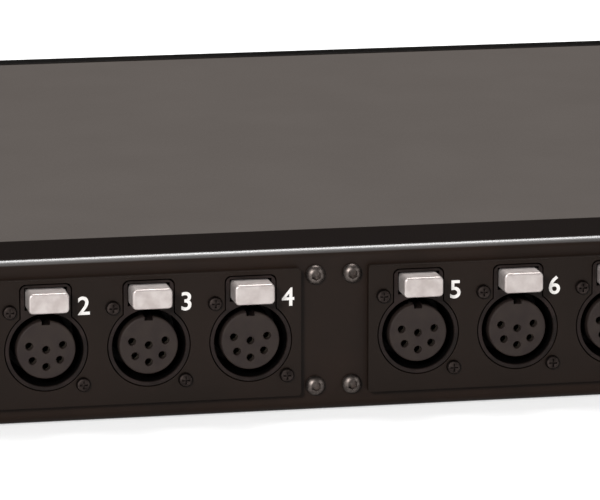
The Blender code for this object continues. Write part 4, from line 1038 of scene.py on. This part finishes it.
class DAC_OT_socket_noses(bpy.types.Operator):
    """Turn the sockets' noses, with contact holes and keyway"""

    bl_idname = "dac.socket_noses"
    bl_label = "Socket noses"

    def execute(self, context):
        sizes = context.scene.dac_socket
        mouth, hole = sizes.contact_mouth, sizes.contact_hole
        for sockets, with_centre in ((OUTPUTS, True), (["dmx_thru"], False)):
            axis = socket_axis(sockets[0])
            low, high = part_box(f"{sockets[0]}_insert")
            shoulder, wide = axis.y + 16.1 * MM, (high.x - low.x) / 2
            nose = turned(
                [
                    (sizes.nose - 0.6 * MM, low.y),
                    (sizes.nose - 0.25 * MM, low.y + 0.12 * MM),
                    (sizes.nose - 0.05 * MM, low.y + 0.35 * MM),
                    (sizes.nose, low.y + 0.7 * MM),
                    (sizes.nose, shoulder),
                    (wide, shoulder),
                    (wide, high.y),
                ],
                axis.x, axis.z, FINE_ROUND,
            )
            half_key, key_depth = 1.1 * MM, 1.2 * MM
            keyway = cube(
                (axis.x - half_key, low.y - CUT, axis.z + sizes.nose - key_depth),
                (axis.x + half_key, shoulder - 0.3 * MM, axis.z + sizes.nose + CUT),
            )
            cutters = [keyway]
            contact = [
                (mouth + 0.25 * MM, low.y - 0.1 * MM),
                (mouth, low.y + 0.15 * MM),
                (mouth, low.y + sizes.mouth_depth),
                (hole, low.y + sizes.mouth_depth),
                (hole, high.y + CUT),
            ]
            for x, z in contact_places(sizes, with_centre):
                cutters.append(turned(contact, axis.x + x, axis.z + z, SMALL_ROUND))
            cut(nose, *cutters)
            for socket in sockets:
                piece = copied(nose, socket_axis(socket) - axis)
                finished(piece, f"{socket}_nose", "nose_nylon", [f"{socket}_insert"])
            discard(nose)
        return {"FINISHED"}


class DAC_OT_latches(bpy.types.Operator):
    """Cast the latches: tab, stem and the finger that holds the plug"""

    bl_idname = "dac.latches"
    bl_label = "Latches"

    def execute(self, context):
        sizes = context.scene.dac_socket
        axis = socket_axis(FEMALES[0])
        low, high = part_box(f"{FEMALES[0]}_latch")
        tab_low = axis.z + sizes.bore + 1.3 * MM
        tab = bevel_edges(cube((low.x, low.y, tab_low), high), along_y, 1.1 * MM, 5)
        bevel_edges(tab, in_front_of(low.y + ON_FACE), 0.55 * MM, 4)
        half_finger = 1.5 * MM
        finger = cube(
            (axis.x - half_finger, axis.y + 10.5 * MM, axis.z + sizes.bore - 1.2 * MM),
            (axis.x + half_finger, axis.y + 13.3 * MM, tab_low + RUN_IN),
        )
        joined(tab, softened(finger, 0.3 * MM, 2))
        for socket in FEMALES:
            piece = copied(tab, socket_axis(socket) - axis)
            node = f"{socket}_latch"
            finished(piece, f"{socket}_push_tab", "satin_nickel", [node], node)
        discard(tab)
        return {"FINISHED"}


class DAC_OT_data_in(bpy.types.Operator):
    """Make the male data socket: housing, carrier and five pins"""

    bl_idname = "dac.data_in"
    bl_label = "Data socket"

    def execute(self, context):
        case, sizes = context.scene.dac_case, context.scene.dac_socket
        axis = socket_axis("dmx_in")
        low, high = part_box("dmx_in_shell")
        pins_low, pins_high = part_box("dmx_in_pins")
        radius = (pins_high.x - pins_low.x) / 2
        shell = socket_block(sizes, axis, low, high)
        floor = pins_high.y + case.clear
        cut(shell, stepped_bore(axis, radius + case.clear, 0.5 * MM, floor, high.y + CUT))
        softened(shell, 0.15 * MM, 2)
        finished(shell, "dmx_in_housing", "moulded_nylon", ["dmx_in_shell"])
        face = axis.y + 13.8 * MM
        carrier = turned([(radius, face), (radius, pins_high.y)], axis.x, axis.z)
        bodies = [softened(painted(carrier, "nose_nylon"), 0.2 * MM, 2)]
        pin = [
            (0.30 * MM, pins_low.y),
            (0.62 * MM, pins_low.y + 0.16 * MM),
            (0.82 * MM, pins_low.y + 0.45 * MM),
            (0.9 * MM, pins_low.y + 0.9 * MM),
            (0.9 * MM, face - APART),
        ]
        for x, z in contact_places(sizes, False):
            bodies.append(painted(turned(pin, axis.x + x, axis.z + z, SMALL_ROUND), "plated_contact"))
        finished(together(bodies), "dmx_in_pin_set", None, ["dmx_in_pins"])
        return {"FINISHED"}


class DAC_OT_socket_boards(bpy.types.Operator):
    """Make the upright boards behind the sockets, with hollow contacts and headers"""

    bl_idname = "dac.socket_boards"
    bl_label = "Socket boards"

    def execute(self, context):
        sizes = context.scene.dac_socket
        rows = {
            "left_output_board": (OUTPUTS[:4], True),
            "right_output_board": (OUTPUTS[4:], True),
            "dmx_board": (["dmx_thru"], False),
        }
        for node, (sockets, with_centre) in rows.items():
            low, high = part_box(node)
            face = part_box(f"{sockets[0]}_shell")[1].y + 0.3 * MM
            back = face + 1.6 * MM
            board = softened(cube((low.x, face, low.z), (high.x, back, high.z)), 0.1 * MM, 1)
            bodies = [painted(board, "solder_mask")]
            middle = ((low.x + high.x) / 2, socket_axis(sockets[0]).z)
            header = cut(
                bar(*middle, 14.7 * MM, 4 * MM, back + APART, high.y),
                bar(*middle, 13.5 * MM, 2.9 * MM, back + 1.5 * MM, high.y + CUT),
            )
            bodies.append(painted(softened(header, 0.15 * MM, 1), "component_black"))
            contact = [(1.2 * MM, low.y), (1.2 * MM, face - APART)]
            solder = [
                (1.3 * MM, back + APART),
                (0.9 * MM, back + 0.5 * MM),
                (0.4 * MM, back + 1.1 * MM),
            ]
            for socket in sockets:
                axis = socket_axis(socket)
                for x, z in contact_places(sizes, with_centre):
                    place = (axis.x + x, axis.z + z)
                    tube = turned(contact, *place, SMALL_ROUND)
                    hollow = (low.y - CUT, low.y + 6 * MM)
                    cut(tube, rod(*place, sizes.contact_bore, *hollow, SMALL_ROUND))
                    joint = turned(solder, *place, SMALL_ROUND)
                    bodies += [painted(tube, "plated_contact"), painted(joint, "zinc_plate")]
            name = node.replace("_board", "_circuit")
            finished(together(bodies), name, None, [node])
        return {"FINISHED"}


class DAC_OT_socket_screws(bpy.types.Operator):
    """Turn the two pan-head screws of each socket"""

    bl_idname = "dac.socket_screws"
    bl_label = "Socket screws"

    def execute(self, context):
        sizes = context.scene.dac_socket
        head, shank, top, under = sizes.screw_head, 1.1 * MM, -1.25 * MM, -0.02 * MM
        profile = [
            (head * 0.55, top),
            (head * 0.82, -1.1 * MM),
            (head * 0.96, -0.7 * MM),
            (head, -0.25 * MM),
            (head, under),
            (shank, under),
            (shank, 7 * MM),
        ]
        screw = turned(profile, sides=SMALL_ROUND)
        crossed(screw, head * 0.55, 0.45 * MM, top - CUT, top + 0.7 * MM)
        for socket in SOCKETS:
            axis = socket_axis(socket)
            for number, (x, z) in enumerate(screw_places(sizes), 1):
                piece = copied(screw, Vector((axis.x + x, axis.y, axis.z + z)))
                finished(piece, f"{socket}_screw_{number}", "black_oxide")
        discard(screw)
        return {"FINISHED"}


class DAC_OT_strip_screws(bpy.types.Operator):
    """Turn the four domed screws of the centre strip, with hexagon sockets"""

    bl_idname = "dac.strip_screws"
    bl_label = "Strip screws"

    def execute(self, context):
        low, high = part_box(STRIP_SCREWS[0])
        middle = (low + high) / 2
        head, shank, rise = (high.x - low.x) / 2, 1.5 * MM, 1.8 * MM
        under = low.y + rise
        profile = dome(head, -rise, under, (62, 50, 38, 26, 14, 4))
        profile += [(head, under), (shank, under), (shank, high.y)]
        screw = turned(profile, middle.x, middle.z, 40)
        top = profile[0][1]
        cut(screw, rod(middle.x, middle.z, 1.35 * MM, top - CUT, top + 1.9 * MM, 6))
        softened(screw, 0.06 * MM, 1, 50)
        for node in STRIP_SCREWS:
            piece = copied(screw, middle_of(node) - middle)
            # The strip's screws get the paler oxide, a painted highlight.
            finished(piece, f"{node}_domed", "worn_oxide", [node])
        discard(screw)
        return {"FINISHED"}


class DAC_OT_numerals(bpy.types.Operator):
    """Print the outputs' numerals"""

    bl_idname = "dac.numerals"
    bl_label = "Output numerals"

    def execute(self, context):
        height = context.scene.dac_socket.numeral
        beside, above = 9.8 * MM, 11.3 * MM
        for number, socket in enumerate(OUTPUTS, 1):
            axis = socket_axis(socket)
            place = (axis.x + beside, axis.y - PRINT, axis.z + above)
            finished(numeral(str(number), height, *place), f"{socket}_numeral", "screen_ink")
        return {"FINISHED"}


class DAC_OT_inlet(bpy.types.Operator):
    """Mould the mains inlet with its three blades"""

    bl_idname = "dac.inlet"
    bl_label = "Mains inlet"

    def execute(self, context):
        low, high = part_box("mains_inlet")
        pins_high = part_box("mains_inlet_pins")[1]
        middle = (low + high) / 2
        flange_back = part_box("chassis_tray")[0].y - context.scene.dac_case.clear
        flange = cube(low, (high.x, flange_back, high.z))
        bevel_edges(flange, along_y, 2.0 * MM)
        bevel_edges(flange, in_front_of(low.y + ON_FACE), 0.6 * MM, 3)
        body = notched(middle, 13.8 * MM, 9.8 * MM, flange_back - RUN_IN, high.y)
        cavity = notched(middle, 12.3 * MM, 8.3 * MM, low.y - CUT, high.y + CUT)
        shell = softened(cut(joined(flange, body), cavity), 0.15 * MM, 2)
        finished(shell, "mains_inlet_housing", "moulded_nylon", ["mains_inlet"])
        floor = low.y + 17.5 * MM
        tip = floor - 13.5 * MM
        bodies = [painted(notched(middle, 12.0 * MM, 8.0 * MM, floor, high.y), "moulded_nylon")]
        for x, z in ((-7 * MM, -2 * MM), (7 * MM, -2 * MM), (0.0, 2 * MM)):
            place = (middle.x + x, middle.z + z)
            blade = bar(*place, MM, 2 * MM, tip, floor - APART)
            bevel_edges(blade, in_front_of(tip + ON_FACE), 0.6 * MM, 3)
            tag = softened(bar(*place, 0.6 * MM, 2.4 * MM, high.y + APART, pins_high.y), 0.2 * MM, 1)
            bodies += [painted(blade, "plated_contact"), painted(tag, "plated_contact")]
        finished(together(bodies), "mains_inlet_blades", None, ["mains_inlet_pins"])
        return {"FINISHED"}


class DAC_OT_switch(bpy.types.Operator):
    """Mould the power switch: bezel, body and rocker with its two marks"""

    bl_idname = "dac.switch"
    bl_label = "Power switch"

    def execute(self, context):
        low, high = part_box("switch_housing")
        face, bezel_back, body_back = high.y, high.y - 1.5 * MM, high.y - 16 * MM
        x, z = middle_of("switch_housing").x, panel_middle()
        bezel = cube((low.x, bezel_back, low.z), high)
        bevel_edges(bezel, along_y, 0.8 * MM, 4)
        outer = face - ON_FACE
        bevel_edges(bezel, lambda a, b: a.y > outer and b.y > outer, 0.4 * MM, 3)
        body = bar(x, z, 6.4 * MM, 9.6 * MM, body_back, bezel_back + RUN_IN)
        hollow = bar(x, z, 5.4 * MM, 8.6 * MM, face - 7 * MM, face + CUT)
        pivot_y = face - 2 * MM
        bearing = cylinder((x, pivot_y, z), 1.1 * MM, 11.8 * MM, "X", SMALL_ROUND)
        shell = softened(cut(joined(bezel, body), hollow, bearing), 0.12 * MM, 1)
        bodies = [painted(shell, "moulded_nylon")]
        for side in (-1, 1):
            tag = bar(x + side * 3.2 * MM, z, 0.6 * MM, 2.4 * MM, low.y, body_back - APART)
            bodies.append(painted(softened(tag, 0.2 * MM, 1), "plated_contact"))
        finished(together(bodies), "switch_body", None, ["switch_housing"])
        rocker, node = rocker_shape(x, pivot_y, z), "switch_rocker"
        finished(rocker, "switch_rocker_cap", None, [node], node)
        return {"FINISHED"}


class DAC_OT_dials(bpy.types.Operator):
    """Mould the three address dials and print their numerals on the panel"""

    bl_idname = "dac.dials"
    bl_label = "Address dials"

    def execute(self, context):
        sizes = context.scene.dac_front
        low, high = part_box(DIALS[0])
        middle = (low + high) / 2
        radius, face = (high.x - low.x) / 2, high.y
        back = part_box("chassis_tray")[1].y + 0.3 * MM
        profile = [
            (radius - 0.6 * MM, face),
            (radius - 0.25 * MM, face - 0.12 * MM),
            (radius, face - 0.5 * MM),
            (radius, back),
        ]
        knob = turned(profile, middle.x, middle.z)
        cutters = []
        flute_ring = radius + 0.25 * MM
        for i in range(sizes.dial_flutes):
            angle = 2 * math.pi * (i + 0.5) / sizes.dial_flutes
            x, z = middle.x + flute_ring * math.cos(angle), middle.z + flute_ring * math.sin(angle)
            cutters.append(rod(x, z, 0.5 * MM, face - 1.9 * MM, face + CUT, 12))
        half_line = 0.6 * MM
        pointer = cube(
            (middle.x - half_line, face - 0.8 * MM, middle.z - radius / 4),
            (middle.x + half_line, face + CUT, middle.z + radius + CUT),
        )
        cut(knob, *cutters, pointer)
        joined(knob, rod(middle.x, middle.z, 1.45 * MM, low.y, back + RUN_IN, SMALL_ROUND))
        for node in DIALS:
            piece = copied(knob, middle_of(node) - middle)
            finished(piece, f"{node}_knob", "white_nylon", [node], node)
        discard(knob)
        panel_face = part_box("front_panel")[1].y
        for node in DIALS:
            place = middle_of(node)
            digits = []
            for digit in range(10):
                angle = math.pi / 2 + digit * math.pi / 5
                x = place.x + sizes.numeral_circle * math.cos(angle)
                z = place.z + sizes.numeral_circle * math.sin(angle)
                digits.append(numeral(str(digit), sizes.numeral, x, panel_face + PRINT, z, facing=1))
            finished(together(digits), f"{node}_numerals", "screen_ink")
        return {"FINISHED"}


class DAC_OT_lamps(bpy.types.Operator):
    """Put a domed lens over each lamp"""

    bl_idname = "dac.lamps"
    bl_label = "Lamps"

    def execute(self, context):
        face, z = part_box("front_panel")[1].y, panel_middle()
        radius = 1.6 * MM
        profile = dome(radius, 1.1 * MM, face, (80, 60, 40, 20, 0)) + [(radius, face - 1.2 * MM)]
        rows = (("power_lens", "green_lens"), ("data_lens", "red_lens"))
        for x, (name, glass) in zip(lamp_places(), rows):
            hollow = rod(x, z, 1.52 * MM, face - 2 * MM, face + 0.02 * MM, SMALL_ROUND)
            finished(cut(turned(profile, x, z, SMALL_ROUND), hollow), name, glass)
        return {"FINISHED"}


class DAC_OT_case_screws(bpy.types.Operator):
    """Turn the screws that hold the rack panel and the cover"""

    bl_idname = "dac.case_screws"
    bl_label = "Case screws"

    def execute(self, context):
        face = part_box("front_panel")[1].y
        profile = [
            (1.4 * MM, -6 * MM),
            (1.4 * MM, -1.5 * MM),
            (2.85 * MM, -0.12 * MM),
            (2.7 * MM, -0.05 * MM),
        ]
        screw = crossed(turned(profile, sides=SMALL_ROUND), 1.6 * MM, 0.5 * MM, -0.9 * MM, CUT)
        for number, (x, z) in enumerate(panel_screw_places(), 1):
            piece = copied(screw, Vector((x, face, z)))
            finished(piece, f"panel_screw_{number}", "black_oxide")
        discard(screw)
        low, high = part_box("top_cover")
        head, shank, top, under = 2.75 * MM, 1.4 * MM, -1.5 * MM, -0.02 * MM
        profile = [
            (1.2 * MM, top),
            (2.1 * MM, -1.35 * MM),
            (2.6 * MM, -0.9 * MM),
            (head, -0.3 * MM),
            (head, under),
            (shank, under),
            (shank, 4 * MM),
        ]
        screw = turned(profile, sides=SMALL_ROUND)
        crossed(screw, 1.5 * MM, 0.5 * MM, top - CUT, top + 0.8 * MM)
        z = context.scene.dac_case.side_flange * 0.6
        places = [(side, share) for side in (-1, 1) for share in (0.1, 0.5, 0.9)]
        for number, (side, share) in enumerate(places, 1):
            place = Vector((side * high.x, low.y + (high.y - low.y) * share, z))
            piece = copied(screw, place, side * math.pi / 2)
            finished(piece, f"cover_screw_{number}", "black_oxide")
        discard(screw)
        return {"FINISHED"}


class DAC_OT_stage(bpy.types.Operator):
    """Set the floor, the lights, the background and the camera"""

    bl_idname = "dac.stage"
    bl_label = "Stage"

    def execute(self, context):
        ready()
        bpy.ops.mesh.primitive_plane_add(size=6, location=(0, 0, -0.2 * MM))
        floor = bpy.context.object
        floor.name = "floor"
        floor.data.materials.append(floor_finish())
        overhead = softbox("overhead_softbox", (0.245, 0.25, 1.3), (0.7, 0.4), 13)
        overhead.rotation_euler = (0, 0, 0)
        softbox("key_softbox", (-1.1, -1.9, 1.0), (0.5, 0.5), 46)
        softbox("fill_softbox", (1.6, -1.2, 0.8), (1.0, 1.0), 6)
        softbox("back_softbox", (-0.3, 1.2, 1.5), (1.2, 0.8), 12).visible_glossy = False
        white_world(context.scene)
        context.scene.view_settings.view_transform = "Standard"
        bpy.ops.object.camera_add(
            location=(-0.2249, -1.2233, 0.2766),
            rotation=(math.radians(77.95), 0, math.radians(-11.39)),
        )
        camera = bpy.context.object
        camera.data.sensor_width = 36
        camera.data.lens = 259.5
        camera.data.clip_start = 0.01
        context.scene.camera = camera
        return {"FINISHED"}


def softbox(name, place, size, power):
    """A rectangular area light that looks at the converter."""
    data = bpy.data.lights.new(name, "AREA")
    data.shape = "RECTANGLE"
    data.size, data.size_y = size
    data.energy = power
    light = bpy.data.objects.new(name, data)
    light.location = place
    aim = Vector((0, 0, 0.03)) - Vector(place)
    light.rotation_euler = aim.to_track_quat("-Z", "Y").to_euler()
    bpy.context.scene.collection.objects.link(light)
    return light


def floor_finish():
    """Pale studio floor: it takes the object's shadow and is white to the camera where it is lit."""
    material, tree, shader, coords = new_finish("studio_floor")
    grain = add(tree, "ShaderNodeTexNoise", {"Vector": coords, "Scale": per_metre(4)}).outputs["Fac"]
    tone = add(
        tree,
        "ShaderNodeMix",
        {MIX_FACTOR: grain, MIX_FIRST: linear("#e2e2e2"), MIX_SECOND: linear("#e8e8e8")},
        data_type="RGBA",
    ).outputs[MIX_RESULT]
    tree.links.new(tone, shader.inputs["Base Color"])
    surface(shader, roughness=0.9, specular=0.0)
    path = add(tree, "ShaderNodeLightPath").outputs["Is Camera Ray"]
    glow = add(tree, "ShaderNodeEmission", {"Color": (1, 1, 1, 1), "Strength": 0.45}).outputs[0]
    plain = shader.outputs["BSDF"]
    lit = add(tree, "ShaderNodeAddShader", {0: plain, 1: glow}).outputs[0]
    seen = add(tree, "ShaderNodeMixShader", {0: path, 1: plain, 2: lit}).outputs[0]
    tree.links.new(seen, tree.nodes["Material Output"].inputs["Surface"])
    return material


def white_world(scene):
    """A soft pale surrounding light: white to the camera and through glass, dark in reflections."""
    world = bpy.data.worlds.new("studio")
    scene.world = world
    world.use_nodes = True
    tree = world.node_tree
    path = add(tree, "ShaderNodeLightPath").outputs
    seen = add(
        tree,
        "ShaderNodeMath",
        {0: path["Is Camera Ray"], 1: path["Is Transmission Ray"]},
        operation="MAXIMUM",
    ).outputs["Value"]
    unseen = add(
        tree, "ShaderNodeMapRange", {"Value": path["Is Glossy Ray"], "To Min": 0.14, "To Max": 0.01}
    ).outputs["Result"]
    strength = add(tree, "ShaderNodeMath", {0: seen, 1: unseen}, operation="MAXIMUM").outputs["Value"]
    background = tree.nodes["Background"]
    background.inputs["Color"].default_value = (1, 1, 1, 1)
    tree.links.new(strength, background.inputs["Strength"])


class DAC_PT_panel(bpy.types.Panel):
    """Lists the converter's pieces, sizes and colours"""

    bl_label = "Lighting converter"
    bl_idname = "DAC_PT_panel"
    bl_space_type = "VIEW_3D"
    bl_region_type = "UI"
    bl_category = "Converter"

    def draw(self, context):
        for step in STEPS:
            self.layout.operator(step.bl_idname)
        for name in GROUPS:
            group = getattr(context.scene, name)
            box = self.layout.box()
            for key in group.__annotations__:
                box.prop(group, key)


STEPS = [
    DAC_OT_finishes,
    DAC_OT_tray,
    DAC_OT_cover,
    DAC_OT_panel,
    DAC_OT_plates,
    DAC_OT_socket_housings,
    DAC_OT_socket_noses,
    DAC_OT_latches,
    DAC_OT_data_in,
    DAC_OT_socket_boards,
    DAC_OT_socket_screws,
    DAC_OT_strip_screws,
    DAC_OT_numerals,
    DAC_OT_inlet,
    DAC_OT_switch,
    DAC_OT_dials,
    DAC_OT_lamps,
    DAC_OT_case_screws,
    DAC_OT_stage,
]
GROUPS = {
    "dac_case": CaseSizes,
    "dac_socket": SocketSizes,
    "dac_front": FrontSizes,
    "dac_colours": FinishColours,
}


def register():
    for cls in [*GROUPS.values(), *STEPS, DAC_PT_panel]:
        bpy.utils.register_class(cls)
    for name, group in GROUPS.items():
        setattr(bpy.types.Scene, name, PointerProperty(type=group))


def unregister():
    for name in GROUPS:
        delattr(bpy.types.Scene, name)
    for cls in reversed([*GROUPS.values(), *STEPS, DAC_PT_panel]):
        bpy.utils.unregister_class(cls)


def main():
    register()
    for step in STEPS:
        group, name = step.bl_idname.split(".")
        getattr(getattr(bpy.ops, group), name)()
    ready()


if __name__ == "__main__":
    main()
